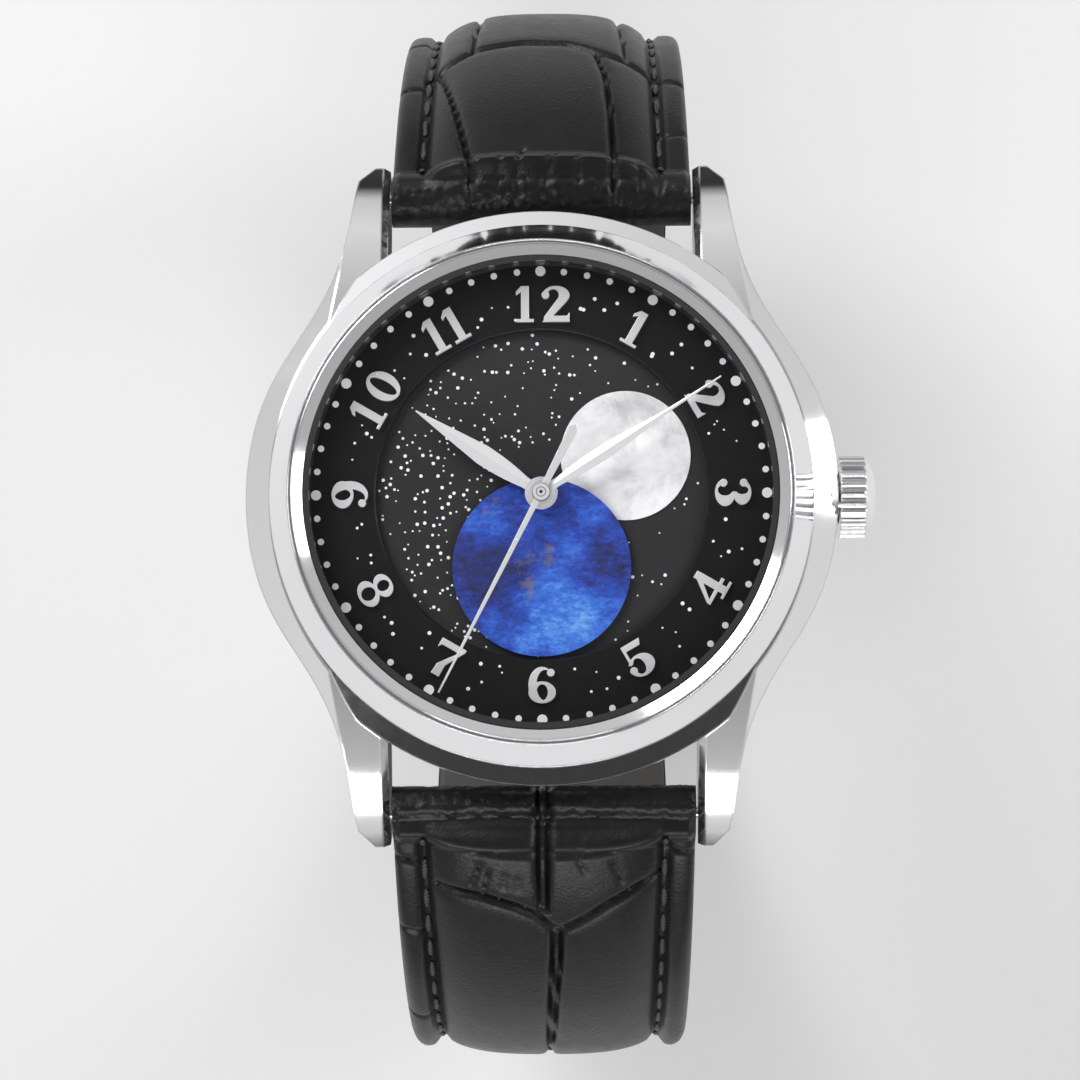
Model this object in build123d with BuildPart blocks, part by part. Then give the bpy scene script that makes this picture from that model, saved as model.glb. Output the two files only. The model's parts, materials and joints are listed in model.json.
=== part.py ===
from build123d import *
from math import atan2, cos, degrees, hypot, radians, sin, sqrt
import os

# A round dress watch with a centre hour, minute and seconds hand and a turning sky disc.
# Its moon goes round a fixed earth once a lunar month.
# Origin: centre of the case back's flat outer face. +Z runs to the dial, +Y to twelve
# o'clock and +X to the crown. Millimetres. Angles in degrees.

# Driving dimensions of the case
case_radius = 21.0
shoulder_radius = 20.5
slot_radius = 19.5
bezel_radius = 19.2
lug_reach = 24.7
lug_width = 22.0
bar_reach = 22.3
bar_height = 1.9
back_height = 1.3
case_top = 8.0
dial_seat = 7.55
dial_top = 8.15
movement_radius = 12.8
case_bore_radius = 15.15
dial_recess_radius = 16.6
bezel_bore_radius = 16.6
stem_height = 4.65

# Clearances
running = 0.05
loose = 0.1
leather_gap = 0.3
wheel_gap = 0.15
overrun = 1.0

# Driving dimensions of the strap loop
loop_radius = 46.8
loop_span = 47.0
side_heading = 110.0
lug_heading = 152.0
edge_half = 1.0
strap_lug_width = 21.2
strap_side_width = 20.8
strap_tail_width = 18.0
pad_lug_width = 16.2
pad_tail_width = 13.4
pad_rise = 2.2
lining_thickness = 0.7
strap_bar_radius = 0.75
strap_knuckle_radius = 2.0

# Shares of a gear's module or of its pitch angle
ADDENDUM_SHARE = 0.85
DEDENDUM_SHARE = 1.25
ROOT_SHARE = 0.27
TIP_SHARE = 0.12
VOID_ROOT_SHARE = 0.40
VOID_TIP_SHARE = 0.24

os.makedirs("parts", exist_ok=True)


def save(piece, label):
    piece.part.label = label
    export_step(piece.part, "parts/" + label + ".step")


def polar(radius, angle, centre=(0, 0)):
    return (centre[0] + radius * cos(radians(angle)), centre[1] + radius * sin(radians(angle)))


def disc(outer, inner, bottom, top, at=(0, 0), mode=Mode.ADD):
    with BuildSketch(Plane.XY.offset(bottom)) as outline:
        with Locations(at):
            Circle(outer)
            if inner:
                Circle(inner, mode=Mode.SUBTRACT)
    extrude(outline.sketch, amount=top - bottom, mode=mode)


def dome_drop(rim, rise, radius):
    # How far a spherical dome of this rim and rise has dropped at a radius
    sphere = (rim * rim + rise * rise) / (2 * rise)
    return sphere - sqrt(sphere * sphere - radius * radius)


def turned(points, mode=Mode.ADD):
    with BuildSketch(Plane.XZ) as section:
        with BuildLine():
            Polyline(*points, close=True)
        make_face()
    revolve(section.sketch, axis=Axis.Z, mode=mode)


def plate(points, bottom, top, mode=Mode.ADD):
    with BuildSketch(Plane.XY.offset(bottom)) as outline:
        with BuildLine():
            Polyline(*points, close=True)
        make_face()
    extrude(outline.sketch, amount=top - bottom, mode=mode)


def block(low, high, mode=Mode.ADD):
    with BuildSketch(Plane.XY.offset(low[2])) as outline:
        with Locations(((low[0] + high[0]) / 2, (low[1] + high[1]) / 2)):
            Rectangle(high[0] - low[0], high[1] - low[1])
    extrude(outline.sketch, amount=high[2] - low[2], mode=mode)


def stem_disc(outer, inner, start, end, mode=Mode.ADD):
    # A round on the winding stem's axis, along +X
    with BuildSketch(Plane(origin=(start, 0, stem_height), x_dir=(0, 1, 0), z_dir=(1, 0, 0))) as outline:
        Circle(outer)
        if inner:
            Circle(inner, mode=Mode.SUBTRACT)
    extrude(outline.sketch, amount=end - start, mode=mode)


def tooth_points(teeth, root, tip, turn, root_share, tip_share, centre=(0, 0)):
    pitch_angle = 360 / teeth
    corners = ((root, -root_share), (tip, -tip_share), (tip, tip_share), (root, root_share))
    points = []
    for tooth in range(teeth):
        for radius, share in corners:
            points.append(polar(radius, turn + (tooth + share) * pitch_angle, centre))
    return points


def toothed(teeth, module, bottom, top, turn=0.0, at=(0, 0), bore=0.0):
    pitch = module * teeth / 2
    root = pitch - DEDENDUM_SHARE * module
    tip = pitch + ADDENDUM_SHARE * module
    plate(tooth_points(teeth, root, tip, turn, ROOT_SHARE, TIP_SHARE, at), bottom, top)
    if bore:
        disc(bore, 0, bottom, top, at, Mode.SUBTRACT)


def spokes(hub, rim, count, spoke_width, bottom, top, at=(0, 0), turn=0.0):
    # Clears a wheel's web between hub and rim and leaves its spokes
    disc(rim, hub, bottom, top, at, Mode.SUBTRACT)
    for spoke in range(count):
        angle = turn + spoke * 360 / count
        side = polar(spoke_width / 2, angle + 90)
        inner = polar(hub - spoke_width / 2, angle, at)
        outer = polar(rim + spoke_width / 2, angle, at)
        corners = (
            (inner[0] + side[0], inner[1] + side[1]),
            (outer[0] + side[0], outer[1] + side[1]),
            (outer[0] - side[0], outer[1] - side[1]),
            (inner[0] - side[0], inner[1] - side[1]),
        )
        plate(corners, bottom, top)


def spiral(inner, outer, turns, thickness, bottom, top, at=(0, 0), start=0.0):
    # A flat spiral spring of even pitch
    steps_per_turn = 24
    count = int(turns * steps_per_turn)
    outside = []
    inside = []
    for step in range(count + 1):
        radius = inner + (outer - inner) * step / count
        angle = start + step * 360 / steps_per_turn
        outside.append(polar(radius + thickness / 2, angle, at))
        inside.append(polar(radius - thickness / 2, angle, at))
    plate(outside + inside[::-1], bottom, top)


# Mid case with its four lugs, one piece of steel
FLANK_SHARES = ((0.905, 0.345), (0.780, 0.515), (0.690, 0.684), (0.650, 0.854), (0.632, 0.955))
ELEVATION_TOP_SHARES = ((0.50, 0.98), (0.57, 0.91), (0.70, 0.76), (0.85, 0.55), (1.0, 0.24))
ELEVATION_LOW_SHARES = ((0.97, 0.02), (0.83, 0.0), (0.66, 0.10), (0.60, 0.1625))
lug_tip_round = 1.1
SLOPE_SHARE = 0.6
slope_reach = 2.2
lug_inner_chamfer = 0.5
bar_hole_radius = 0.5
bar_hole_depth = 1.2
case_foot_radius = 18.6
case_foot_height = 2.6
case_belly_height = 4.25
case_wall_top = 6.7
crown_tube_radius = 1.6


with BuildPart() as mid_case:
    with BuildSketch(Plane.XY) as plan:
        with BuildLine():
            flank = [(case_radius * x, lug_reach * y) for x, y in FLANK_SHARES]
            tip = (lug_width / 2 + lug_tip_round, lug_reach)
            inner_tip = (lug_width / 2, lug_reach)
            inner_root = (lug_width / 2, 0)
            Spline((case_radius, 0), *flank, tangents=[(0, 1), (-0.2, 1)])
            Line(flank[-1], tip)
            Line(tip, inner_tip)
            Line(inner_tip, inner_root)
            Line(inner_root, (case_radius, 0))
        make_face()
        mirror(about=Plane.XZ)
        mirror(about=Plane.YZ)
    extrude(plan.sketch, amount=case_top)
    with BuildSketch(Plane.YZ) as elevation:
        with BuildLine():
            top_line = [(lug_reach * y, case_top * z) for y, z in ELEVATION_TOP_SHARES]
            low_line = [(lug_reach * y, case_top * z) for y, z in ELEVATION_LOW_SHARES]
            Line((0, case_top), top_line[0])
            Spline(*top_line)
            Line(top_line[-1], low_line[0])
            Spline(*low_line)
            Line(low_line[-1], (0, back_height))
            Line((0, back_height), (0, case_top))
        make_face()
        mirror(about=Plane.YZ)
    extrude(elevation.sketch, amount=2 * case_radius, both=True, mode=Mode.INTERSECT)
    wall = (
        (case_bore_radius, back_height),
        (case_foot_radius, back_height),
        (slot_radius, case_foot_height),
        (slot_radius, case_belly_height),
        (shoulder_radius, case_belly_height + (shoulder_radius - slot_radius)),
        (shoulder_radius, case_wall_top),
        (bezel_radius, case_top),
        (case_bore_radius, case_top),
    )
    turned(wall)
    slope_radius = case_radius + slope_reach
    slope = (
        (bezel_radius, case_top),
        (slope_radius, case_top - (slope_radius - bezel_radius) * SLOPE_SHARE),
        (slope_radius, case_top + overrun),
        (bezel_radius, case_top + overrun),
    )
    turned(slope, Mode.SUBTRACT)
    disc(case_bore_radius, 0, -overrun, case_top + overrun, mode=Mode.SUBTRACT)
    disc(dial_recess_radius, 0, dial_seat, case_top + overrun, mode=Mode.SUBTRACT)
    stem_disc(crown_tube_radius, 0, 0, case_radius + overrun, Mode.SUBTRACT)
    for side in (1, -1):
        centre = Plane(origin=(0, side * bar_reach, bar_height), x_dir=(0, 1, 0), z_dir=(1, 0, 0))
        with BuildSketch(centre) as hole:
            Circle(bar_hole_radius)
        reach = lug_width / 2 + bar_hole_depth
        extrude(hole.sketch, amount=reach, both=True, mode=Mode.SUBTRACT)
    lug_edges = mid_case.edges().filter_by(lambda edge: abs(abs(edge.center().X) - lug_width / 2) < running)
    lug_edges = lug_edges.filter_by(lambda edge: edge.bounding_box().max.Z > case_top / 2)
    chamfer(lug_edges.filter_by(lambda edge: edge.length > lug_reach / 4), lug_inner_chamfer)
save(mid_case, "mid_case")


# Bezel: a stepped, domed steel ring pressed over the case top, with a thin inner lip
bezel_foot_rise = 0.4
bezel_shoulder_radius = 18.6
bezel_shoulder_height = 9.3
bezel_groove_radius = 17.6
bezel_top = 10.85
bezel_lip_height = 10.45
bezel_groove = 0.12

with BuildPart() as bezel:
    with BuildSketch(Plane.XZ) as section:
        with BuildLine():
            foot = (bezel_radius, case_top)
            rise = (bezel_radius, case_top + bezel_foot_rise)
            belly = (bezel_shoulder_radius, bezel_shoulder_height)
            crest = (bezel_groove_radius + bezel_groove, bezel_top)
            groove = (bezel_groove_radius, bezel_top - 2 * bezel_groove)
            lip = (bezel_groove_radius - bezel_groove, bezel_top)
            lip_end = (bezel_bore_radius, bezel_lip_height)
            bore_foot = (bezel_bore_radius, case_top)
            Line(bore_foot, foot)
            Line(foot, rise)
            ThreePointArc(rise, belly, crest)
            Line(crest, groove)
            Line(groove, lip)
            Line(lip, lip_end)
            Line(lip_end, bore_foot)
        make_face()
    revolve(section.sketch, axis=Axis.Z)
save(bezel, "bezel")


# Domed crystal, with the plastic ring that it is pressed into
crystal_radius = 16.2
crystal_bottom = 10.1
crystal_edge_height = 10.95
crystal_crown_height = 11.7
gasket_top = 10.6

with BuildPart() as crystal:
    with BuildSketch(Plane.XZ) as section:
        with BuildLine():
            edge = (crystal_radius, crystal_edge_height)
            crown_point = (0, crystal_crown_height)
            rise = crystal_crown_height - crystal_edge_height
            drop = dome_drop(crystal_radius, rise, crystal_radius / 2)
            half_way = (crystal_radius / 2, crystal_crown_height - drop)
            ThreePointArc(crown_point, half_way, edge)
            Line(edge, (crystal_radius, crystal_bottom))
            Line((crystal_radius, crystal_bottom), (0, crystal_bottom))
            Line((0, crystal_bottom), crown_point)
        make_face()
    revolve(section.sketch, axis=Axis.Z)
save(crystal, "crystal")

with BuildPart() as crystal_gasket:
    disc(bezel_bore_radius, crystal_radius, crystal_bottom, gasket_top)
save(crystal_gasket, "crystal_gasket")


# Dial flange: the thin tapered ring between the dial and the crystal
flange_foot_radius = 16.3
flange_top_radius = 16.42

with BuildPart() as dial_flange:
    flange = (
        (flange_foot_radius, dial_top),
        (bezel_bore_radius, dial_top),
        (bezel_bore_radius, crystal_bottom),
        (flange_top_radius, crystal_bottom),
    )
    turned(flange)
save(dial_flange, "dial_flange")


# Case back: a steel ring with six key notches, a sapphire window and an O ring
back_flange_radius = 17.8
back_plug_radius = 15.05
back_plug_top = 2.3
back_window_radius = 12.9
glass_radius = 13.5
glass_bottom = 0.25
glass_top = 1.1
back_edge_chamfer = 0.35
notch_count = 6
notch_width = 2.2
notch_depth = 0.5
gasket_radius = 16.2
gasket_wire = 0.4

with BuildPart() as case_back:
    ring = (
        (back_window_radius, 0),
        (back_flange_radius - back_edge_chamfer, 0),
        (back_flange_radius, back_edge_chamfer),
        (back_flange_radius, back_height),
        (back_plug_radius, back_height),
        (back_plug_radius, back_plug_top),
        (glass_radius, back_plug_top),
        (glass_radius, glass_bottom),
        (back_window_radius, glass_bottom),
    )
    turned(ring)
    for notch in range(notch_count):
        angle = notch * 360 / notch_count
        with BuildSketch(Plane.XY) as cutter:
            with Locations(Location(polar(back_flange_radius, angle) + (0,), (0, 0, angle))):
                Rectangle(2 * notch_width, notch_width)
        extrude(cutter.sketch, amount=notch_depth, mode=Mode.SUBTRACT)
    groove_radius = gasket_wire + running
    turned(
        (
            (gasket_radius - groove_radius, back_height - 2 * gasket_wire),
            (gasket_radius + groove_radius, back_height - 2 * gasket_wire),
            (gasket_radius + groove_radius, back_height + overrun),
            (gasket_radius - groove_radius, back_height + overrun),
        ),
        Mode.SUBTRACT,
    )
save(case_back, "case_back")

with BuildPart() as back_glass:
    disc(glass_radius, 0, glass_bottom, glass_top)
    disc(back_window_radius - running, 0, 0, glass_bottom)
save(back_glass, "back_glass")

with BuildPart() as back_gasket:
    with BuildSketch(Plane.XZ) as section:
        with Locations((gasket_radius, back_height - gasket_wire)):
            Circle(gasket_wire)
    revolve(section.sketch, axis=Axis.Z)
save(back_gasket, "back_gasket")


# Movement ring: holds the movement in the case, with a slot for the stem
ring_bottom = 2.6
stem_slot_radius = 1.45

with BuildPart() as movement_ring:
    disc(case_bore_radius - running, movement_radius + running, ring_bottom, dial_seat - loose)
    stem_disc(stem_slot_radius, 0, 0, case_bore_radius + overrun, Mode.SUBTRACT)
save(movement_ring, "movement_ring")


# Crown, its tube, its gasket and the winding stem
crown_radius = 2.95
crown_start = 21.15
crown_flute_length = 1.75
crown_length = 2.75
crown_end_radius = 1.9
crown_dome_rise = 0.3
flute_count = 26
flute_radius = 0.24
tube_bore_radius = 1.0
tube_end = 22.1
tube_start = 15.2
crown_socket_radius = 1.9
crown_socket_depth = 1.45
crown_gasket_thickness = 0.35
stem_radius = 0.62
stem_inner_end = 6.9
stem_thread = 0.5

with BuildPart() as crown:
    axis_plane = Plane(origin=(0, 0, stem_height), x_dir=(1, 0, 0), z_dir=(0, -1, 0))
    with BuildSketch(axis_plane) as section:
        with BuildLine():
            end_x = crown_start + crown_length
            flute_end = crown_start + crown_flute_length
            rim = (end_x - crown_dome_rise, crown_end_radius)
            Line((crown_start, 0), (crown_start, crown_radius))
            Line((crown_start, crown_radius), (flute_end, crown_radius))
            Line((flute_end, crown_radius), rim)
            drop = dome_drop(crown_end_radius, crown_dome_rise, crown_end_radius / 2)
            ThreePointArc(rim, (end_x - drop, crown_end_radius / 2), (end_x, 0))
            Line((end_x, 0), (crown_start, 0))
        make_face()
    revolve(section.sketch, axis=Axis((0, 0, stem_height), (1, 0, 0)))
    for flute in range(flute_count):
        angle = flute * 360 / flute_count
        flute_y, flute_z = polar(crown_radius + flute_radius / 3, angle, (0, stem_height))
        flute_plane = Plane(
            origin=(crown_start - overrun, flute_y, flute_z), x_dir=(0, 1, 0), z_dir=(1, 0, 0),
        )
        with BuildSketch(flute_plane) as groove:
            Circle(flute_radius)
        extrude(groove.sketch, amount=crown_length + overrun, mode=Mode.SUBTRACT)
    socket_end = crown_start + crown_socket_depth
    stem_disc(crown_socket_radius, 0, crown_start, socket_end, Mode.SUBTRACT)
    stem_disc(stem_radius, 0, crown_start, socket_end + stem_thread, Mode.SUBTRACT)
save(crown, "crown")

with BuildPart() as crown_tube:
    stem_disc(tube_bore_radius + 0.6 * stem_radius, tube_bore_radius, tube_start, tube_end)
    stem_disc(crown_tube_radius, tube_bore_radius, tube_start, case_radius - stem_radius)
save(crown_tube, "crown_tube")

with BuildPart() as crown_gasket:
    gasket_start = crown_start + crown_socket_depth - crown_gasket_thickness
    stem_disc(
        crown_socket_radius,
        stem_radius + running,
        gasket_start,
        gasket_start + crown_gasket_thickness,
    )
save(crown_gasket, "crown_gasket")

with BuildPart() as winding_stem:
    stem_disc(stem_radius, 0, stem_inner_end, crown_start + crown_socket_depth + stem_thread)
save(winding_stem, "winding_stem")


# Dial: a black ring with a raised face, open in the middle, on two feet
dial_radius = 16.55
dial_window_radius = 11.7
dial_foot_ring = 12.45
dial_foot_radius = 0.25
dial_foot_depth = 1.2
dial_foot_angles = (40, 220)
window_bevel = 0.12

with BuildPart() as dial:
    face = (
        (dial_window_radius, dial_seat),
        (dial_radius, dial_seat),
        (dial_radius, dial_top),
        (dial_window_radius + window_bevel, dial_top),
        (dial_window_radius, dial_top - window_bevel),
    )
    turned(face)
    for angle in dial_foot_angles:
        disc(dial_foot_radius, 0, dial_seat - dial_foot_depth, dial_seat, polar(dial_foot_ring, angle))
save(dial, "dial")


# Minute markers: sixty round pips, the twelve at the hours larger
marker_ring = 15.9
hour_pip_radius = 0.36
minute_pip_radius = 0.23
pip_height = 0.06

with BuildPart() as minute_markers:
    for minute in range(60):
        radius = minute_pip_radius if minute % 5 else hour_pip_radius
        disc(radius, 0, dial_top, dial_top + pip_height, polar(marker_ring, 6 * minute))
save(minute_markers, "minute_markers")


# Applied hour numerals of polished steel: thick and thin strokes with ball ends.
# Every figure is drawn upright about its own centre.
numeral_ring = 13.5
numeral_half_height = 1.28
numeral_half_width = 0.96
numeral_thickness = 0.4
thick_stroke = 0.56
thin_stroke = 0.2
ball = 0.27
figure_pitch = 2.2
one_pitch = 1.62


def ring_part(centre, outer, inner, shift=(0, 0)):
    with Locations(centre):
        Ellipse(*outer)
    with Locations((centre[0] + shift[0], centre[1] + shift[1])):
        Ellipse(*inner, mode=Mode.SUBTRACT)


def bar(points):
    Polygon(*points, align=None)


def dot(centre):
    with Locations(centre):
        Circle(ball)


def figure_zero():
    with BuildSketch(Plane.XY) as shape:
        inner = (numeral_half_width - thick_stroke, numeral_half_height - thin_stroke)
        ring_part((0, 0), (numeral_half_width, numeral_half_height), inner)
    return shape.sketch


def figure_one():
    with BuildSketch(Plane.XY) as shape:
        half = thick_stroke / 2
        top = numeral_half_height
        foot = numeral_half_width * 0.66
        bar(((-half, -top), (half, -top), (half, top), (-half, top)))
        bar(((-foot, -top), (foot, -top), (foot, -top + thin_stroke), (-foot, -top + thin_stroke)))
        bar((
            (-half, top), (-half, top - 2 * thin_stroke), (-foot, top - 3.2 * thin_stroke),
            (-foot, top - 2 * thin_stroke),
        ))
    return shape.sketch


def figure_two():
    with BuildSketch(Plane.XY) as shape:
        bowl = numeral_half_height * 0.52
        top = numeral_half_height - bowl
        wide = numeral_half_width
        ring_part(
            (0, top), (wide, bowl), (wide - thick_stroke, bowl - thin_stroke),
            (-thick_stroke * 0.35, 0),
        )
        with Locations((-wide, top - bowl)):
            Rectangle(2 * wide, 2 * bowl, mode=Mode.SUBTRACT)
        with Locations((0, top - bowl * 1.5)):
            Rectangle(4 * wide, 2 * bowl, mode=Mode.SUBTRACT)
        low = -numeral_half_height
        bar((
            (wide * 0.9, top + bowl * 0.1), (wide * 0.82, top - bowl * 0.6),
            (-wide * 0.3, low + thick_stroke * 0.6), (-wide * 0.4, low + thin_stroke / 2),
            (-wide * 0.9, low + thin_stroke / 2), (-wide * 0.9, low + thin_stroke * 1.6),
            (wide * 0.16, top - bowl * 0.3), (wide * 0.6, top + bowl * 0.1),
        ))
        bar((
            (-wide, low), (wide, low), (wide, low + thick_stroke * 1.2),
            (wide * 0.8, low + thick_stroke * 0.75), (-wide * 0.6, low + thick_stroke * 0.75),
        ))
        dot((-wide + ball * 0.8, top + ball * 0.1))
    return shape.sketch


def figure_three():
    with BuildSketch(Plane.XY) as shape:
        wide = numeral_half_width
        high = numeral_half_height * 0.5
        low = numeral_half_height * 0.56
        top = numeral_half_height - high
        bottom = low - numeral_half_height
        ring_part(
            (0, top), (wide * 0.9, high), (wide * 0.9 - thick_stroke, high - thin_stroke),
            (-thick_stroke * 0.3, 0),
        )
        with BuildSketch(Plane.XY, mode=Mode.PRIVATE) as lower:
            ring_part(
                (0, bottom), (wide, low), (wide - thick_stroke, low - thin_stroke),
                (-thick_stroke * 0.3, 0),
            )
        add(lower.sketch)
        with Locations((-wide, 0)):
            Rectangle(2 * wide * 0.95, numeral_half_height * 0.95, mode=Mode.SUBTRACT)
        dot((-wide + ball, top + ball * 0.4))
        dot((-wide + ball, bottom - ball * 0.4))
    return shape.sketch


def figure_four():
    with BuildSketch(Plane.XY) as shape:
        wide = numeral_half_width
        top = numeral_half_height
        arm = -top * 0.35
        stem = wide * 0.15
        bar(((stem, -top), (stem + thick_stroke, -top), (stem + thick_stroke, top), (stem, top)))
        bar((
            (-wide, arm), (wide * 1.15, arm), (wide * 1.15, arm - thin_stroke * 1.3),
            (-wide, arm - thin_stroke * 1.3),
        ))
        bar((
            (stem + thin_stroke, top), (-wide, arm), (-wide + thin_stroke * 1.5, arm),
            (stem + thick_stroke, top * 0.9),
        ))
        foot = thin_stroke
        bar((
            (-wide * 0.2, -top), (wide * 1.2, -top), (wide * 1.2, -top + foot),
            (-wide * 0.2, -top + foot),
        ))
    return shape.sketch


def figure_five():
    with BuildSketch(Plane.XY) as shape:
        wide = numeral_half_width
        top = numeral_half_height
        low = numeral_half_height * 0.62
        centre = low - top
        ring_part(
            (0, centre), (wide, low), (wide - thick_stroke, low - thin_stroke),
            (-thick_stroke * 0.3, 0),
        )
        with Locations((-wide, centre)):
            Rectangle(2 * wide * 0.9, low * 0.9, mode=Mode.SUBTRACT)
        dot((-wide + ball, centre - ball * 0.4))
        bar((
            (-wide * 0.75, top), (wide * 0.8, top), (wide * 0.6, top - thick_stroke * 0.8),
            (-wide * 0.75, top - thick_stroke * 0.8),
        ))
        left = -wide * 0.75
        bar((
            (left, top), (left + thin_stroke, top), (left + thin_stroke, centre + low * 0.4),
            (left, centre + low * 0.35),
        ))
    return shape.sketch


def figure_six():
    with BuildSketch(Plane.XY) as shape:
        wide = numeral_half_width
        top = numeral_half_height
        low = numeral_half_height * 0.6
        centre = low - top
        ring_part(
            (0, 0), (wide, top), (wide - thick_stroke * 0.6, top - thin_stroke),
            (thick_stroke * 0.4, 0),
        )
        with Locations((wide, top * 0.1)):
            Rectangle(2 * wide, top * 1.1, mode=Mode.SUBTRACT)
        with BuildSketch(Plane.XY, mode=Mode.PRIVATE) as lower:
            ring_part((0, centre), (wide, low), (wide - thick_stroke, low - thin_stroke))
        add(lower.sketch)
        dot((wide - ball * 1.3, top - ball * 1.5))
    return shape.sketch


def figure_seven():
    with BuildSketch(Plane.XY) as shape:
        wide = numeral_half_width
        top = numeral_half_height
        drop = thick_stroke * 0.8
        bar((
            (-wide, top), (wide, top), (wide, top - thin_stroke), (wide * 0.7, top - drop),
            (-wide * 0.8, top - drop), (-wide, top - 1.6 * drop),
        ))
        bar((
            (wide, top - thin_stroke), (wide * 0.15, -top * 0.3), (wide * 0.15, -top),
            (-wide * 0.5, -top), (-wide * 0.45, -top * 0.4), (wide * 0.6, top - drop),
        ))
    return shape.sketch


def figure_eight():
    with BuildSketch(Plane.XY) as shape:
        wide = numeral_half_width
        high = numeral_half_height * 0.5
        low = numeral_half_height * 0.56
        ring_part(
            (0, numeral_half_height - high), (wide * 0.88, high),
            (wide * 0.88 - thick_stroke * 0.8, high - thin_stroke),
        )
        with BuildSketch(Plane.XY, mode=Mode.PRIVATE) as lower:
            ring_part(
                (0, low - numeral_half_height), (wide, low),
                (wide - thick_stroke * 0.85, low - thin_stroke),
            )
        add(lower.sketch)
    return shape.sketch


def figure_nine():
    return figure_six().rotate(Axis.Z, 180)


FIGURES = (
    figure_zero, figure_one, figure_two, figure_three, figure_four,
    figure_five, figure_six, figure_seven, figure_eight, figure_nine,
)


with BuildPart() as hour_numerals:
    for hour in range(1, 13):
        angle = 90 - 30 * hour
        upright = angle + 90 if 4 <= hour <= 8 else angle - 90
        digits = str(hour)
        pitch = one_pitch if hour == 11 else figure_pitch
        for place, digit in enumerate(digits):
            offset = (place - (len(digits) - 1) / 2) * pitch
            figure = FIGURES[int(digit)]()
            spot = Plane(
                origin=polar(numeral_ring, angle) + (dial_top,), x_dir=polar(1, upright) + (0,),
                z_dir=(0, 0, 1),
            )
            place_on_dial = spot.location * Location((offset, 0, 0))
            extrude(place_on_dial * figure, amount=numeral_thickness)
save(hour_numerals, "hour_numerals")


# Motion works and the turning sky disc, between the main plate and the dial
plate_bottom = 4.9
plate_top = 6.1
motion_distance = 2.64
cannon_teeth = 12
minute_wheel_teeth = 36
minute_pinion_teeth = 10
hour_wheel_teeth = 40
moon_pinion_teeth = 12
moon_wheel_teeth = 63
sky_pinion_teeth = 8
sky_ring_teeth = 90
moon_distance = 6.0
minute_wheel_angle = 150.0
moon_wheel_angle = 20.0
cannon_module = 2 * motion_distance / (cannon_teeth + minute_wheel_teeth)
hour_module = 2 * motion_distance / (minute_pinion_teeth + hour_wheel_teeth)
moon_module = 2 * moon_distance / (moon_pinion_teeth + moon_wheel_teeth)
sky_module = 2 * moon_distance / (sky_ring_teeth - sky_pinion_teeth)
seconds_arbor_radius = 0.2
centre_arbor_bore = 0.26
centre_arbor_radius = 0.38
cannon_bore = 0.41
cannon_radius = 0.53
hour_tube_bore = 0.6
hour_tube_radius = 0.76
fixed_tube_bore = 0.84
fixed_tube_radius = 1.04
cannon_low = 6.15
cannon_high = 6.4
minute_low = 6.18
minute_high = 6.36
hour_low = 6.46
hour_high = 6.62
moon_low = 6.72
moon_high = 6.86
moon_pinion_high = 6.88
minute_pinion_high = 6.66
sky_ring_low = 6.96
sky_disc_low = 7.18
sky_disc_top = 7.43
moon_top = 7.55
earth_low = 7.8
earth_top = 8.2
hour_hand_low = 8.62
hour_hand_top = 8.92
minute_hand_low = 9.06
minute_hand_top = 9.34
seconds_hand_low = 9.5
seconds_hand_top = 9.66
stud_radius = 0.25
stud_bore = 0.31

with BuildPart() as cannon_pinion:
    toothed(cannon_teeth, cannon_module, cannon_low, cannon_high, minute_wheel_angle)
    disc(cannon_radius, 0, cannon_high, minute_hand_top + loose / 2)
    disc(cannon_bore, 0, cannon_low, minute_hand_top + loose, mode=Mode.SUBTRACT)
save(cannon_pinion, "cannon_pinion")

with BuildPart() as minute_wheel:
    spot = polar(motion_distance, minute_wheel_angle)
    mesh_turn = minute_wheel_angle + 180 + 180 / minute_wheel_teeth
    toothed(minute_wheel_teeth, cannon_module, minute_low, minute_high, mesh_turn, spot)
    toothed(
        minute_pinion_teeth, hour_module, minute_high, minute_pinion_high,
        minute_wheel_angle + 180, spot,
    )
    disc(stud_bore, 0, minute_low, minute_pinion_high, spot, Mode.SUBTRACT)
save(minute_wheel, "minute_wheel")

with BuildPart() as hour_wheel:
    mesh_turn = minute_wheel_angle + 180 / hour_wheel_teeth
    toothed(hour_wheel_teeth, hour_module, hour_low, hour_high, mesh_turn)
    toothed(moon_pinion_teeth, moon_module, hour_high, moon_pinion_high, moon_wheel_angle)
    disc(hour_tube_radius, 0, hour_high, hour_hand_top + loose / 2)
    disc(hour_tube_bore, 0, hour_low, hour_hand_top + loose, mode=Mode.SUBTRACT)
save(hour_wheel, "hour_wheel")

with BuildPart() as moon_wheel:
    spot = polar(moon_distance, moon_wheel_angle)
    mesh_turn = moon_wheel_angle + 180 + 180 / moon_wheel_teeth
    toothed(moon_wheel_teeth, moon_module, moon_low, moon_high, mesh_turn, spot)
    toothed(sky_pinion_teeth, sky_module, moon_high, sky_disc_low - running, moon_wheel_angle, spot)
    disc(stud_bore, 0, moon_low, sky_disc_low, spot, Mode.SUBTRACT)
save(moon_wheel, "moon_wheel")


# Centre tube: a fixed cup over the hour wheel, whose neck carries the earth.
# The minute and moon wheels reach in through its two windows.
cup_bore = 2.35
cup_radius = 2.7
cup_floor = 6.93
cup_floor_top = 7.03
cup_shoulder_radius = 1.9
earth_collar_radius = 1.3

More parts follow.
